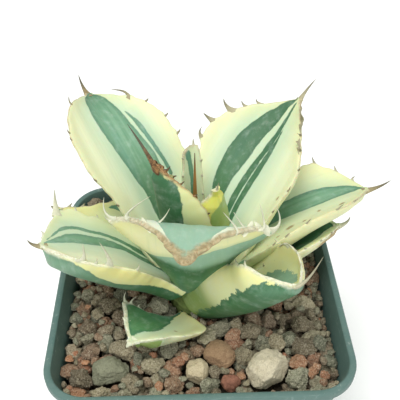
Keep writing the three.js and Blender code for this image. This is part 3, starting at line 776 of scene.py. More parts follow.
# leaf_centre_left's green is painted dark: painted shade, as the leaf lies in shadow
grow_leaf(
    "leaf_centre_left", azimuth=203, foot=(4, 10.5), length=51, lift=(87, 81, 73), turn=(2, 2), roll=(3, 0),
    left=(10, 12, 12, 12, 8.5, 0), right=(10, 12, 12, 10, 5, 0), cup=(74, 80, 73), thick=(5, 4.5, 2.5),
    spine=(13, -46, -2), flaps=((1, 0.93, 1.0, 1.2, 60), (-1, 0.9, 1.0, 2.0, 130)),
    left_teeth=((0.36, 1.6, 40, 8.4), (0.5, 1.2, -20, 2), (0.64, 1, -15, 17), (0.78, 1.1, 11, 18)),
    right_teeth=((0.42, 1.78, 44.7, 17.1), (0.53, 1.72, -0.9, 1.1), (0.61, 2.17, 17.7, 11.4),
        (0.74, 1.63, -14.5, 13.9), (0.84, 2.11, 18.5, 2.5)),
    upper=(((0, -0.5, 0.5), (0.6, -0.5, 0.5), (1, -0.5, 0.5)),),
    under=(((0, -0.6, 0.42), (0.64, -0.6, 0.5), (0.78, -0.6, 0.66), (0.88, -0.7, 0.86), (0.97, -0.8, 0.9)),),
    border=((0, 0.05, 0.12, 0.15, 0.2, 0.7), (0, 0, 0, 0.1, 0.15, 0.6)), warm=(0.8, 0.6, 0.6),
    deep=(0.9, 0.9), husk=(0.3, 0.5, 1, 1.4, 2), ragged=0.5, dry=1.8)
# leaf_front's under face is painted dark below its fold line and pale blue-green above it: painted shade and
# a painted lit band
grow_leaf(
    "leaf_front", azimuth=264, foot=(6, 7), length=62.5, lift=(72, 75, 84, 72, 11, 20), turn=(-2, 0),
    roll=(10, -6), left=(8, 8, 14, 21.5, 9, 0), right=(8, 8.5, 14.5, 22.5, 10, 0), cup=(47, 12, 0),
    thick=(2.5, 4.5, 6, 4, 3), blunt=0.07, flare=3.4,
    left_teeth=((0.6, 7, 50, 60, 0.4), (0.645, 7, 115, 65, 0.5), (0.7, 7, -155, 40, 0.6),
        (0.74, 6.8, 180, 50, 0.3)),
    right_teeth=((0.6, 3.5, 50, 10), (0.62, 7, 30, 50), (0.7, 9, -145, 50, 0.1), (0.76, 8.5, -150, 30, 0.9)),
    upper=(((0, -0.6, 0.6), (0.5, -0.55, 0.55), (0.62, -0.5, 0.6), (0.74, -0.62, 0.7), (0.88, -0.75, 0.8),
        (1, -0.9, 0.9)),),
    under=(((0, -1.1, 1.1), (0.42, -1.1, 1.1), (0.45, -0.75, 1.1), (0.48, -0.4, 1.1), (0.5, -0.2, 1.1),
        (0.53, 0.1, 1.1), (0.55, 0.23, 1.1), (0.58, 0.4, 1.1), (0.6, 0.6, 1.1), (0.62, 0.9, 1.1),
        (0.635, 1.1, 1.1)),),
    border=((0, 0, 0.1, 0.7, 2.1, 4.2), (0, 0, 0.1, 0.9, 1.6, 4.2)), warm=(0.2, 0, -1.5, -1.5),
    deep=(0.3, 0.3, 0.3, 0.2), pale=(0.4, 0.5, 0.62, 0.68, 0.7), husk=(0, 0, 0, 0.05, 0.8, 0.9), ragged=0.4,
    dry=0.08, below=dict(warm=(0.6, 0.6, 0.65, 0.5),
        deep=(0.45, 0.45, 0.45, 0.45, 0.5, 0.7, 0.9, *[0.05] * 10), pale=(*[0] * 7, *[0.6] * 10), keel=0.08))
grow_leaf(
    "leaf_back_right", azimuth=48, foot=(8, 10), length=60, lift=(62, 41, 40), turn=(-1, -2), roll=(-2, -2),
    left=(10, 9, 17, 21.5, 15.5, 0), right=(9, 14, 17, 18, 9, 0), cup=(26, 49, 16), thick=(8, 6, 3),
    spine=(8, -8, 0, 0.62), flaps=((-1, 0.83, 0.97, 3.4, 75), (-1, 0.72, 0.8, 2.2, 120)),
    left_teeth=((0.45, 2, 50, 5), (0.55, 4, 60, 5), (0.66, 4.5, 8, 5), (0.76, 5, 26, 5), (0.82, 2.5, 30, 0),
        (0.87, 2.2, 30, 0)),
    right_teeth=((0.4, 1.6, 40, 10), (0.52, 2.3, 60, 10), (0.64, 1.8, 30, 20), (0.74, 2.4, 10, 40),
        (0.82, 2.6, -20, 60)),
    upper=(((0, 0.33, 0.75), (0.35, 0.37, 0.68), (0.45, 0.31, 0.63), (0.51, 0.25, 0.59), (0.58, 0.21, 0.57),
        (0.72, 0.2, 0.57), (0.82, 0.16, 0.58), (0.9, 0.2, 0.62), (0.95, 0.3, 0.84), (1, 0.4, 0.98)),
        ((0, 0.11, 0.28), (0.35, 0.07, 0.22), (0.47, 0.04, 0.155), (0.63, 0.01, 0.095), (0.78, -0.07, 0.05),
        (0.89, -0.08, 0.05), (0.97, -0.05, 0.12)),
        ((0, -0.08, 0.09), (0.35, -0.06, 0.055), (0.47, -0.08, 0.03), (0.63, -0.1, 0.0),
        (0.78, -0.12, -0.05), (0.85, -0.1, -0.07))),
    under=(((0, -0.6, 0.6), (0.6, -0.35, 0.45), (1, -0.5, 0.5)),),
    border=((0.05, 0.05, 0.1, 0.35), (0, 0, 0.05, 0.1, 0.2, 0.9)), warm=(0.0, 0.05, 0.3),
    deep=(0.5, 0.6, 0.7, 0.9, 1), ragged=0.25, dry=0.75, scars=((0.47, -0.88, 1.0),))
grow_leaf(
    "leaf_back_left", azimuth=127, foot=(7.5, 7), length=70, lift=(54, 43, -3), turn=(3, -6), roll=(1, 12),
    left=(9, 13, 14, 19.5, 17, 0), right=(9, 11, 15.5, 17.5, 13.5, 0), cup=(34, 30, 46), thick=(8, 6, 3),
    spine=(11, -6, 13),
    left_teeth=((0.4, 1.5, 40, 5), (0.53, 1.6, 50, 5), (0.7, 1.6, 60, 5), (0.73, 1.8, 60, 10),
        (0.87, 3, 60, 30)),
    right_teeth=((0.48, 1.5, 30, 5), (0.58, 2, 30, 0), (0.68, 1.8, 20, 0), (0.79, 1.5, 20, 0),
        (0.86, 6.5, 120, 20, 0.2)),
    upper=(((0, -0.45, 0.05), (0.39, -0.5, 0.1), (0.48, -0.48, 0.18), (0.55, -0.45, 0.2), (0.62, -0.4, 0.23),
        (0.7, -0.37, 0.27), (0.78, -0.37, 0.3), (0.86, -0.44, 0.38), (0.89, -0.5, 0.46), (0.94, -0.62, 0.62),
        (1, -0.9, 0.9)),
        ((0.42, -0.66, -0.58), (0.55, -0.56, -0.49), (0.61, -0.54, -0.45), (0.67, -0.53, -0.43),
        (0.72, -0.53, -0.43), (0.78, -0.49, -0.44), (0.8, -0.47, -0.46))),
    under=(((0, -0.5, 0.5), (0.6, -0.4, 0.3), (1, -0.5, 0.5)),),
    border=((0, 0.05, 0.1, 0.4), (0, 0.05, 0.1, 0.2)), warm=(0.0, 0.05, 0.15), deep=(0.9, 0.75, 0.1, 0.55),
    pale=(0, 0.1, 0.1, 0), husk=(0.8, 0.8), ragged=0.25, dry=0.85, aged=1.2)
# leaf_left's under face is painted darker towards its foot: painted shade
grow_leaf(
    "leaf_left", azimuth=192, foot=(8.5, 10), length=46.5, lift=(41, 36, 22), turn=(-6, 8), roll=(19, 11),
    left=(11, 10, 14.5, 17, 15.5, 0), right=(9.5, 10.5, 14, 15, 15.5, 0), cup=(22, 35, 28),
    thick=(7, 8.5, 6), spine=(4, -45, 6),
    left_teeth=((0.49, 2.6, 10, 40), (0.69, 8, 65, 45), (0.77, 2, 10, 60), (0.83, 5, 40, 75)),
    right_teeth=((0.55, 1.6, 20, 5), (0.7, 1.8, 10, 5), (0.83, 7.5, 10, 20, 0.3), (0.95, 1.5, 35, 0)),
    upper=(((0, -0.75, -0.45), (0.35, -0.68, -0.56), (0.53, -0.66, -0.57), (0.69, -0.62, -0.54),
        (0.86, -0.57, -0.47), (0.94, -0.5, -0.42)),
        ((0, -0.4, -0.05), (0.35, -0.5, -0.36), (0.53, -0.5, -0.26), (0.69, -0.44, -0.14),
        (0.86, -0.36, -0.09), (0.97, -0.3, -0.16))),
    under=(((0, -0.95, 0.9), (0.1, -0.9, 0.88), (0.34, -0.8, 0.78), (0.55, -0.7, 0.67), (0.69, -0.8, 0.74),
        (0.78, -0.8, 0.86), (0.88, -0.8, 0.95), (1, -0.8, 0.97)),),
    border=((0, 0, 0, 0.1, 0.4, 0.8), (0, 0.05, 0.1, 0.1, 0.3, 0.5)), warm=(0.0, 0.1, 0.1),
    deep=(0.7, 0.4, 0.25, 0.2), pale=(0, 0.1, 0.2, 0.2), husk=(0.3, 0.2, 0.15, 0.15), ragged=0.35, dry=0.25,
    aged=0.9, below=dict(warm=(0.6, 0.9, 0.9, 0.6), deep=(0.95, 0.8, 0.65, 0.6, 0.5)))
grow_leaf(
    "leaf_right", azimuth=18, foot=(6, 7.5), length=59, lift=(49, 22, 0), turn=(4, -6), roll=(-7, -12),
    left=(9, 12, 15.5, 14.5, 14, 0), right=(9, 9.5, 16, 16, 12.5, 0), cup=(27, 50, 38), thick=(7, 5.5, 3),
    spine=(9, 10, 8),
    left_teeth=((0.5, 1.6, 20, 5), (0.65, 1.8, 10, 0), (0.79, 3, 0, 0), (0.88, 2.3, 5, 0), (0.94, 2, 60, 0)),
    right_teeth=((0.38, 1.6, 60, 15), (0.45, 2, 65, 10), (0.56, 2.6, 62, 15), (0.73, 2.8, 60, 15),
        (0.84, 1.8, 50, 10)),
    upper=(((0, -0.1, 0.2), (0.38, 0, 0.23), (0.44, 0.02, 0.3), (0.51, -0.02, 0.4), (0.61, -0.07, 0.42),
        (0.69, -0.1, 0.4), (0.74, -0.1, 0.38), (0.85, -0.06, 0.36), (0.93, 0, 0.45), (0.97, 0.2, 0.5),
        (1, 0.3, 0.5)),
        ((0, -1.1, -0.45), (0.12, -1.1, -0.6), (0.2, -1.1, -0.85))),
    under=(((0, -0.5, 0.5), (0.5, -0.3, 0.4), (1, -0.4, 0.4)),),
    border=((0, 0.05, 0.1, 0.3), (0, 0, 0, 0.0, 0.15, 0.4)), warm=(0.0, 0.25, 0.4),
    deep=(0.1, 0.2, 0.2, 0.35), pale=(0, 0.1, 0), husk=(0.6, 0.6), ragged=0.25, dry=0.6, aged=0.95,
    scars=((0.42, -0.55, 1.0), (0.5, -0.42, 1.5), (0.58, -0.5, 1.1), (0.8, -0.55, 1.4), (0.68, -0.35, 0.8)))
grow_leaf(
    "leaf_front_right", azimuth=315, foot=(7.5, 4), length=45.5, lift=(42, 47, 50), turn=(0, -6),
    roll=(-20, -19), left=(9, 13, 17, 17.5, 12.5, 0), right=(13, 15, 17.5, 13.5, 13, 0), cup=(56, 107, 65),
    thick=(7, 5.5, 2.5), spine=(10.5, 52, 36, 0.62),
    left_teeth=((0.6, 2, -20, 10), (0.7, 4.5, -80, 10), (0.74, 3, -45, 10), (0.8, 1.8, 0, 20),
        (0.9, 1.8, 30, 20)),
    right_teeth=((0.5, 1.8, 20, 0), (0.65, 1.6, 0, 0), (0.8, 1.8, 30, 0)),
    upper=(((0, -0.3, 0.5), (0.5, 0.15, 0.55), (0.7, 0.2, 0.55), (1, 0.3, 0.6)),),
    under=(((0, -0.5, 0.9), (0.15, -0.5, 0.9), (0.39, -0.43, 0.8), (0.51, -0.5, 0.8), (0.63, -0.55, 0.8),
        (0.77, -0.6, 0.8), (0.84, -0.68, 0.8), (0.89, -0.8, 0.8), (0.96, -0.95, 0.8)),),
    border=((0, 0.1, 0.15, 0.35, 0.5), (0, 0.1, 0.4, 0.6, 0.7)), warm=(0.4, 0.8, 0.8),
    deep=(0.6, 0.6, 0.65, 0.65), pale=(0, 0.3, 0.55, 0.6), husk=(0.3, 0.2, 0.25, 0.1), ragged=1.5, dry=0.2,
    aged=0.55, below=dict(pale=(-1, -1, -0.3, 0, 0, 0)))
grow_leaf(
    "leaf_back_left_low", azimuth=156, foot=(8, 2.5), length=47, lift=(26, 22, 16), turn=(-2, 0),
    roll=(-1, -1), left=(8, 11, 14, 14, 9, 0), right=(8, 11, 14, 16, 7, 0), cup=(20, 22, 15),
    thick=(7, 5, 3), spine=(2, 0, 10),
    left_teeth=((0.35, 1.52, 6.4, 19), (0.44, 1.93, 47.9, 5.3), (0.55, 1.96, -0.3, 9.2),
        (0.64, 2.5, 5.1, 25), (0.71, 1.74, -24.5, 13.2), (0.83, 1.75, 15.7, 13), (0.91, 1.72, 2.1, 24.9)),
    right_teeth=((0.4, 1.8, 39.9, 22.9), (0.49, 1.5, 10.4, 11.2), (0.58, 2.13, 33.3, 10.2),
        (0.66, 1.51, -9.1, 24.8), (0.76, 1.33, 23.8, 2.6), (0.85, 1.72, -2.6, 11.8),
        (0.93, 2.14, -6.2, 11.8)),
    upper=(((0, -0.5, 0.4), (0.5, -0.35, 0.25), (0.8, -0.1, 0.2), (1, -0.2, 0.4)),
        ((0.5, -0.86, -0.7), (0.6, -0.86, -0.68), (0.68, -0.82, -0.74))),
    under=(((0, -0.5, 0.5), (0.5, -0.4, 0.4), (1, -0.4, 0.4)),),
    warm=(0.5, 0.7, 0.9), deep=(0.1, 0), ragged=0.4)
# leaf_right_low's green is painted dark, darkest towards the foot: painted shade, as its upper face lies in
# shadow
grow_leaf(
    "leaf_right_low", azimuth=7, foot=(7.5, 3.5), length=44.5, lift=(38, 33, 11), turn=(2, -2),
    roll=(-12, -13), left=(9, 12, 15, 15, 11, 0), right=(8, 7.5, 9, 14, 10, 0), cup=(18, 42, 25),
    thick=(7, 5, 2.5), spine=(5, 35, 8),
    left_teeth=((0.41, 2.58, 46.3, 16.9), (0.51, 2.29, 34.8, 6.7), (0.62, 1.9, -28.6, 9.3),
        (0.7, 2.28, 20.8, 10.1), (0.83, 1.46, -29, 11.8), (0.9, 1.85, 18.5, 10.7)),
    right_teeth=((0.42, 1.87, 20.5, 22.6), (0.51, 1.73, 37.1, 15.9), (0.62, 1.73, 0.8, 15.8),
        (0.73, 1.49, -21.6, 24.2), (0.83, 1.1, 26.4, 23.8), (0.92, 1.59, -1.1, 20.8)),
    upper=(((0, -0.9, 0.6), (0.5, -0.86, 0.5), (0.62, -0.8, 0.5), (0.75, -0.66, 0.5), (0.85, -0.4, 0.55),
        (0.97, -0.1, 0.5)),),
    under=(((0, -0.5, 0.5), (0.5, -0.4, 0.4), (1, -0.4, 0.4)),),
    border=((0.05, 0.1, 0.2, 0.7), (0, 0.05, 0.1, 0.2, 0.5)), warm=(0.3, 0.4, 0.2), deep=(1, 0.9, 0.5),
    husk=(0.3, 0.2, 0.1), ragged=0.5, dry=0.4,
    scars=((0.66, -0.72, 1.3), (0.93, -0.7, -3.2), (0.84, -0.8, -2.2)))
grow_leaf(
    "leaf_front_left_low", azimuth=243, foot=(10.2, 1.2), length=29, lift=(22, 34, 9), turn=(-9, -13),
    roll=(5, 0), left=(0.5, 11.5, 11.5, 8.5, 5, 0), right=(0.5, 1.5, 6, 12, 7, 0), cup=(28, 20, 34),
    thick=(1.6, 4, 5.5, 5), spine=(1.6, 20, 0), flare=3,
    left_teeth=((0.55, 1.5, 20, 0), (0.75, 1.5, 20, 0)),
    right_teeth=((0.48, 1.8, -60, 20), (0.54, 3.6, -70, 50, 0.2), (0.58, 3.7, -10, 40, 0.2),
        (0.82, 1.3, 20, 5)),
    upper=(((0, -1.1, -0.1), (0.2, -1.1, 0), (0.4, -1, 0.15), (0.6, -0.93, 0.3), (0.72, -0.88, 0.25),
        (0.82, -0.8, -0.1), (0.92, -0.7, -0.2)),),
    under=(((0, -0.9, 0.4), (0.6, -0.9, 0.3), (0.7, -0.8, 0.35), (0.75, -0.8, 0.97), (0.97, -0.8, 0.97)),),
    border=((0.05, 0.05, 0.1, 0.5), (0.05, 0.3, 1.2, 0.6)), warm=(0.9, 0.4, 0, -0.2),
    deep=(0.7, 0.6, 0.4, 0.1), husk=(0.3, 0.1, 0.05), ragged=0.8, dry=0.05,
    below=dict(deep=(0.5, 0.2, -0.5, -0.7)), scars=((0.5, 0.6, 0.6),))
grow_leaf(
    "leaf_back_low", azimuth=84, foot=(8.5, 2), length=43, lift=(24, 18, 12), turn=(0, 3),
    left=(8, 11, 14, 14, 9, 0), right=(8, 11, 14, 14, 9, 0), cup=(20, 26, 22), thick=(7, 5, 3),
    spine=(5, 0, 12),
    left_teeth=((0.35, 2.19, -8.8, 4), (0.43, 2.57, 49.5, 11.5), (0.54, 1.8, -25.2, 11),
        (0.63, 1.55, 22.5, 12.5), (0.73, 1.79, -1.5, 17.2), (0.83, 1.56, 43.2, 11.8),
        (0.92, 1.73, -1.4, 18.9)),
    right_teeth=((0.37, 1.81, -9, 20.9), (0.44, 1.6, 30.3, 13.8), (0.54, 2.69, 48.4, 13.3),
        (0.64, 1.69, -28.9, 0.5), (0.74, 2.49, -2.7, 15.2), (0.83, 2.38, 27.7, 5.9), (0.91, 1.53, -16, 22)),
    upper=(((0, -0.4, 0.5), (0.5, -0.2, 0.42), (0.8, -0.12, 0.4), (1, -0.5, 0.6)),
        ((0.2, -0.5, -0.42), (0.8, -0.36, -0.26))),
    under=(((0, -0.6, 0.6), (0.5, -0.4, 0.5), (1, -0.5, 0.5)),),
    scars=((0.6, 0.6, 1.2),))
grow_leaf(
    "leaf_back_right_low", azimuth=39, foot=(9, 2.5), length=41, lift=(24, 15, 9), turn=(0, 3),
    left=(7, 10, 13, 12, 8, 0), right=(7, 10, 13, 13, 8, 0), cup=(20, 28, 22), thick=(6, 5, 3),
    spine=(5, 0, 12),
    left_teeth=((0.35, 2.13, 43.5, 22.8), (0.48, 2.8, 42, 19.8), (0.6, 1.72, 43.6, 13.3),
        (0.71, 1.48, 27.3, 12.2), (0.8, 1.81, 3, 15.4), (0.93, 2.67, -18.9, 3.9)),
    right_teeth=((0.36, 1.54, -25.8, 15.7), (0.47, 2.76, -0.2, 8.4), (0.56, 2.3, -29.4, 7),
        (0.67, 1.9, 1.9, 14.2), (0.8, 2.53, -12.3, 8.3), (0.9, 2.45, 13.1, 2.5)),
    upper=(((0, -0.5, 0.3), (0.5, -0.4, 0.3), (1, -0.5, 0.4)), ((0.3, 0.42, 0.52), (0.85, 0.4, 0.55))),
    under=(((0, -0.6, 0.6), (0.5, -0.5, 0.4), (1, -0.5, 0.5)),),
    deep=(0.2, 0.3))
grow_leaf(
    "leaf_back_mid", azimuth=112, foot=(8.5, 2.5), length=40, lift=(24, 17, 12), turn=(0, -3),
    left=(7, 10, 13, 13, 8, 0), right=(7, 10, 13, 12, 8, 0), cup=(18, 22, 20), thick=(6, 5, 3),
    spine=(4, 0, 12),
    left_teeth=((0.36, 2.01, 16.6, 4.2), (0.45, 2.27, -17, 19.6), (0.59, 2.39, 49.8, 6.7),
        (0.67, 1.53, -18.2, 13.2), (0.82, 2.52, 46.3, 12.9), (0.9, 1.69, 45.7, 23)),
    right_teeth=((0.35, 2.38, 10.3, 21), (0.46, 2.05, 35.6, 19), (0.58, 2.28, 17.7, 15.6),
        (0.69, 2.1, 41.6, 5.3), (0.79, 2.55, 25.2, 11.5), (0.92, 2.52, 6.8, 0.6)),
    upper=(((0, -0.45, 0.4), (0.5, -0.3, 0.35), (1, -0.6, 0.5)),),
    under=(((0, -0.6, 0.6), (0.5, -0.5, 0.4), (1, -0.5, 0.5)),),
    warm=(0.3, 0.4, 0.6), dry=0.75)


# Stones
# Five larger stones stand out among the grit: a pale cream-grey pebble, a grey-green one, a cream
# one, a brown and a brick-red one. They are broken, slightly worn rock, lying loose on the gravel.
BREAKS = 12


def broken_rock(chance, shallow, lumps, pits, level):
    """Unit rock: a block between flat breaks, at least so shallow in its middle, then roughened"""
    form = bmesh.new()
    bmesh.ops.create_icosphere(form, subdivisions=level, radius=1)
    ways = np.array([v.co[:] for v in form.verts])
    faces = [tuple(v.index for v in face.verts) for face in form.faces]
    form.free()
    reach = np.ones(len(ways))
    for _ in range(BREAKS):
        way = chance.normal(size=3)
        way /= np.linalg.norm(way)
        facing = np.maximum(ways @ way, 0.05)
        reach = np.minimum(reach, chance.uniform(shallow, 0.92) / facing)
    shift = Vector(chance.uniform(-50, 50, 3))
    rough = []
    for way in ways:
        v = Vector(way)
        swell = noise.noise(v * 1.7 + shift) * lumps + noise.noise(v * 5 + shift) * lumps * 0.6
        pit = max(noise.noise(v * 8.5 - shift) - 0.1, 0) * pits
        rough.append(1 + swell - pit)
    reach *= np.array(rough)
    return ways * (reach / reach.mean())[:, None], faces


def about_upright(angle):
    """The matrix of a turn about the upright"""
    cos, sin = math.cos(angle), math.sin(angle)
    return np.array([[cos, -sin, 0], [sin, cos, 0], [0, 0, 1]])


def turned(chance, tilt):
    """A tilt to any side of up to so many degrees, and a turn about the upright"""
    turn, share, side = chance.uniform(0, 2 * math.pi), chance.uniform(-1, 1), chance.uniform(0, 2 * math.pi)
    tip = math.radians(tilt) * share
    lean = np.array([[1, 0, 0], [0, math.cos(tip), -math.sin(tip)], [0, math.sin(tip), math.cos(tip)]])
    to_side = about_upright(side)
    return to_side @ lean @ to_side.T, about_upright(turn)


def rock_finish(name, light, dark):
    rock = Finish(name, specular=0.2)
    where = rock.here()
    patches = rock.grain(where, 0.35, 4.0, 0.6)
    crystals = rock.grain(where, 2.6, 5.0, 0.75)
    color = rock.coats(
        rock.mix(patches, dark, light),
        (rock.rise(crystals, 0.5, 0.7) * 0.5, [min(v + 16, 255) for v in light]),
        (rock.rise(0 - crystals, -0.45, -0.34) * 0.6, [v * 0.62 for v in dark]))
    return rock.shine(color, 0.82 + 0.15 * crystals, crystals * 0.7 + patches * 0.3, 0.5)


# Middle, half sizes, heading in degrees, and the light and dark colours of each stone
STONES = {
    "stone_pale": ((20, -32.5, 75), (7, 5.8, 5.4), 40, (222, 214, 188), (184, 172, 142)),
    "stone_grey_green": ((-27.5, -31, 73.5), (6.2, 4.4, 3.6), 15, (152, 154, 130), (112, 112, 90)),
    "stone_cream": ((-1, -32, 74), (3.6, 4, 3.8), 0, (214, 202, 170), (166, 150, 118)),
    "stone_brown": ((6, -26.5, 74), (4.4, 5, 3.4), 70, (176, 148, 116), (128, 100, 74)),
    "stone_red": ((8.8, -36, 73.6), (2.9, 2.8, 2.6), 20, (172, 122, 100), (122, 82, 66)),
}
for number, (name, (middle, size, heading, light, dark)) in enumerate(STONES.items()):
    chance = np.random.default_rng(300 + number)
    points, faces = broken_rock(chance, 0.72, 0.09, 0.2, 5)
    points = points / np.abs(points).max(0) * np.array(size)
    stone_mesh = Mesh()
    stone_mesh.add(points @ about_upright(math.radians(heading)).T + np.array(middle), faces)
    stone_mesh.piece(name + "_rock", rock_finish(name + "_skin", light, dark), [name], 60)


# Gravel
# Loose lava grit of 3 to 8 mm in browns, brick red, greys and tan, poured round the plant over
# packed potting grit. Each porous grain lies where it came to rest, clear of the leaves. The top
# grains, the bed of grains with the fill below it, and the fines in the gaps are a piece each.
BED_LEVEL = 67.5
CROWN = 76.2
STEM_CLEAR = 9.3
TRIES = 1500
PLACES_TRIED = 14
FINE_HALF = 1.45
TOP_GRAINS = 140
# The ground is a level for each square cell, and no grain can lie on one that is taken
CELL = 0.5
REACH = 44
TAKEN = 300
# A few grains are heaped in the corner behind the leaves: x, y, level, half sizes and heading
HEAPED = ((-35.7, 37, 77, (3.4, 3.1, 2.8), 0.5), (-28.5, 38, 75.5, (3.6, 3, 2.8), 2),
          (-37.5, 29.5, 75.5, (3.4, 3, 2.6), 1.2))
# Tries so far, and the least and most half length of the grains that are poured from there on
POURS = ((0, 1.6, 3.2), (400, 2.6, 4.6), (760, 1.4, 2.8), (1000, 0.8, 1.4))


def on_grain(dx, dy, heading, size):
    """Offsets from a grain's middle, along its length and its width, in half lengths and half widths"""
    return ((dx * math.cos(heading) + dy * math.sin(heading)) / size[0],
            (dy * math.cos(heading) - dx * math.sin(heading)) / size[1])


# The level of the ground so far, and of the lowest leaf above it, in square cells
cells = np.arange(-REACH, REACH, CELL) + CELL / 2
cell_x, cell_y = np.meshgrid(cells, cells, indexing="ij")
ground = np.full(cell_x.shape, BED_LEVEL)
ceiling = np.full(cell_x.shape, 200.0)
for leaf_points in undersides:
    low_points = leaf_points[leaf_points[:, 2] < 92]
    columns = ((low_points[:, :2] + REACH) / CELL).astype(int)
    kept = np.all((columns >= 0) & (columns < len(cells)), axis=1)
    np.minimum.at(ceiling, (columns[kept, 0], columns[kept, 1]), low_points[kept, 2])
for shift in ((0, 1), (1, 0), (0, -1), (-1, 0)):
    ceiling = np.minimum(ceiling, np.roll(ceiling, shift, (0, 1)))
ground[np.hypot(cell_x, cell_y) < STEM_CLEAR] = TAKEN
for middle, size, heading, _light, _dark in STONES.values():
    a, b = on_grain(cell_x - middle[0], cell_y - middle[1], math.radians(heading), size)
    ground[a ** 2 + b ** 2 < 0.8] = TAKEN

# Each grain tries a few places and takes the one where it comes to lie lowest
chance = np.random.default_rng(11)
half_mouth = cavity_side(GRAVEL_LEVEL) / 2
grains = []
for x, y, rest, size, heading in HEAPED:
    grains.append((x, y, rest, np.array(size), heading))
    ground[np.hypot(cell_x - x, cell_y - y) < size[1]] = rest + 1.5
for tried in range(len(HEAPED), TRIES):
    least_half, most_half = [pour[1:] for pour in POURS if tried >= pour[0]][-1]
    long_half = chance.uniform(least_half, most_half)
    size = long_half * np.array([1, chance.uniform(0.72, 0.98), chance.uniform(0.58, 0.86)])
    heading = chance.uniform(0, math.pi)
    limit = half_mouth - size[1] * 0.85
    best = None
    for _ in range(PLACES_TRIED):
        x, y = chance.uniform(-42, 42, 2)
        corner = np.hypot(max(abs(x) - limit + 8, 0), max(abs(y) - limit + 8, 0))
        if max(abs(x), abs(y)) > limit or corner > 8.5:
            continue
        i, j = int((x + REACH) / CELL), int((y + REACH) / CELL)
        n = int(long_half / CELL) + 2
        window = (slice(max(i - n, 0), i + n), slice(max(j - n, 0), j + n))
        a, b = on_grain(cell_x[window] - x, cell_y[window] - y, heading, size)
        bulge = 1 - a ** 2 - b ** 2
        under = bulge > 0.05
        if not under.any():
            continue
        # It comes to rest sunk in a little, clear of the leaves, and lies lower beside the pot's wall
        belly = size[2] * np.sqrt(bulge[under])
        rest = (ground[window][under] + belly * 0.86).max() - 0.14 * size[2]
        crown = (rest + belly).max()
        wall_gap = half_mouth - max(abs(x), abs(y))
        if (rest + belly > ceiling[window][under] - 0.2).any() or crown > CROWN - 0.32 * max(9 - wall_gap, 0):
            continue
        if best is None or crown < best[0]:
            best = (crown, x, y, rest, window, under, belly)
    if best is None:
        continue
    x, y, rest, window, under, belly = best[1:]
    patch = ground[window]
    patch[under] = np.maximum(patch[under], rest + belly * 0.9)
    grains.append((x, y, rest, size, heading))

lava = Finish("lava_grit", specular=0.2)
kind, shade = lava.painted("grit")[:2]
where = lava.here()
patches = lava.grain(where, 0.45, 4.0, 0.6)
pores = lava.grain(where, 2.2, 5.0, 0.75)
sorts = lava.node("ShaderNodeValToRGB", {"stops": (
    (0.0, (196, 124, 88)), (0.13, (154, 122, 96)), (0.26, (112, 102, 82)), (0.4, (166, 156, 126)),
    (0.54, (148, 152, 128)), (0.68, (120, 130, 110)), (0.8, (192, 184, 152)), (0.9, (130, 108, 90)),
    (1.0, (204, 138, 96)))}, {0: kind})
grit_color = lava.coats(
    sorts,
    (patches * 0.45, (170, 158, 132)),
    (lava.rise(pores, 0.5, 0.64) * 0.6, (224, 214, 190)),
    (lava.rise(0 - pores, -0.47, -0.36) * 0.75, (76, 64, 50)),
    (shade, (58, 50, 40)))
gravel_finish = lava.shine(grit_color, 0.85 + 0.12 * pores, pores * 0.7 + patches * 0.3, 0.8)


def held_by_wall(points):
    """The points, with those beyond the pot's inner wall pushed back against it"""
    stretch = sprung(points[:, 1], points[:, 2])
    flat = np.stack([points[:, 0] / stretch, points[:, 1]], -1)
    core = (cavity_side(points[:, 2]) / 2 - cavity_corner(points[:, 2]))[:, None]
    square = np.clip(flat, -core, core)
    beyond = flat - square
    reach = np.hypot(beyond[:, 0], beyond[:, 1])
    share = np.minimum((cavity_corner(points[:, 2]) - 0.12) / np.maximum(reach, 0.001), 1)
    flat = square + beyond * share[:, None]
    return np.stack([flat[:, 0] * stretch, flat[:, 1], points[:, 2]], -1)


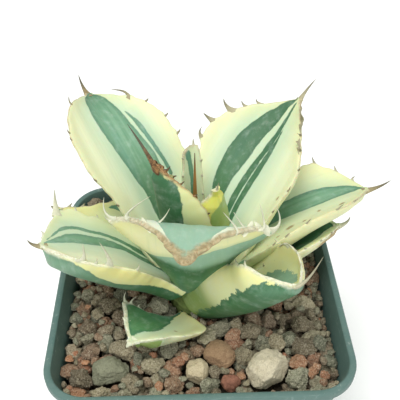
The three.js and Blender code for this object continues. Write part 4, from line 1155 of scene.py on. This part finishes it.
forms = {level: [broken_rock(chance, 0.55, 0.22, 0.5, level) for _ in range(16)] for level in (2, 3, 4)}
fines = [grain for grain in grains if grain[3][0] < FINE_HALF]
coarse = sorted((grain for grain in grains if grain[3][0] >= FINE_HALF), key=lambda grain: -grain[2])
gravel_parts = (("gravel_top", coarse[:TOP_GRAINS], 4), ("gravel_bed", coarse[TOP_GRAINS:], 3),
                ("gravel_fines", fines, 2))
for part_name, part_grains, level in gravel_parts:
    gravel_mesh = Mesh()
    if part_name == "gravel_bed":
        fill_levels = (2.35, 20, 40, 60, BED_LEVEL - 1)
        fill = [square_ring(cavity_side(z) - 0.7, cavity_corner(z) - 0.35, z) for z in fill_levels]
        gravel_mesh.add_tube(fill, grit=np.broadcast_to((0.3, 0.85, 0), np.shape(fill)))
    for x, y, rest, size, heading in part_grains:
        points, faces = forms[level][chance.integers(len(forms[level]))]
        lean, _turn = turned(chance, 25)
        _lean, turn = turned(chance, 180)
        points = (points @ turn.T) * size
        points = points @ lean.T @ about_upright(heading).T + np.array([x, y, rest])
        # The grit's numbers are the grain's sort, how dark it is, and a spare one
        mark = (chance.random(), chance.uniform(0, 0.3), chance.random())
        gravel_mesh.add(held_by_wall(points), faces, grit=[mark] * len(points))
    gravel_mesh.piece(part_name, gravel_finish, ["gravel"], 35)


# Studio
# The pot stands on a plain pale table under a large soft light, and the camera looks down at it
# from the front.
floor_mesh = bpy.data.meshes.new("table")
floor_mesh.from_pydata([(-4, -4, 0), (4, -4, 0), (4, 4, 0), (-4, 4, 0)], [], [(0, 1, 2, 3)])
table_finish = Finish("pale_table", specular=0.1)
haze = table_finish.grain(table_finish.here(), 0.01, 2.0)
table_color = table_finish.mix(haze, (251, 252, 250), (254, 254, 253))
table_finish.shader.inputs["Emission Color"].default_value = paint(250, 252, 250)
table_finish.shader.inputs["Emission Strength"].default_value = 0.06
floor_mesh.materials.append(table_finish.shine(table_color, 0.8 + 0.1 * haze, haze, 0.01))
table_top = placed("table", floor_mesh)

world = bpy.data.worlds.new("studio")
bpy.context.scene.world = world
world.use_nodes = True
world.node_tree.nodes["Background"].inputs["Color"].default_value = (0.99, 1, 0.98, 1)
world.node_tree.nodes["Background"].inputs["Strength"].default_value = 0.73


def soft_light(name, place, size, power):
    light = bpy.data.lights.new(name, "AREA")
    light.shape = "DISK"
    light.size = size
    light.energy = power
    made = placed(name, light)
    made.location = place
    made.rotation_euler = (Vector((0, 0, 0.09)) - Vector(place)).to_track_quat("-Z", "Y").to_euler()


soft_light("overhead", (-0.2, -0.2, 0.9), 0.45, 4.9)
soft_light("front_fill", (0.25, -0.8, 0.6), 0.5, 2.1)

# Lens, place and aim are fitted to the rim's straight sides and corners as the photograph shows them
lens = bpy.data.cameras.new("camera")
lens.sensor_width = 36
lens.lens = 62.316
lens.clip_start = 0.01
camera = placed("camera", lens)
camera.location = (-0.00395, -0.14863, 0.25273)
camera.rotation_euler = (math.radians(47.01), 0, math.radians(-1.86))
bpy.context.scene.camera = camera
bpy.context.scene.view_settings.view_transform = "Standard"
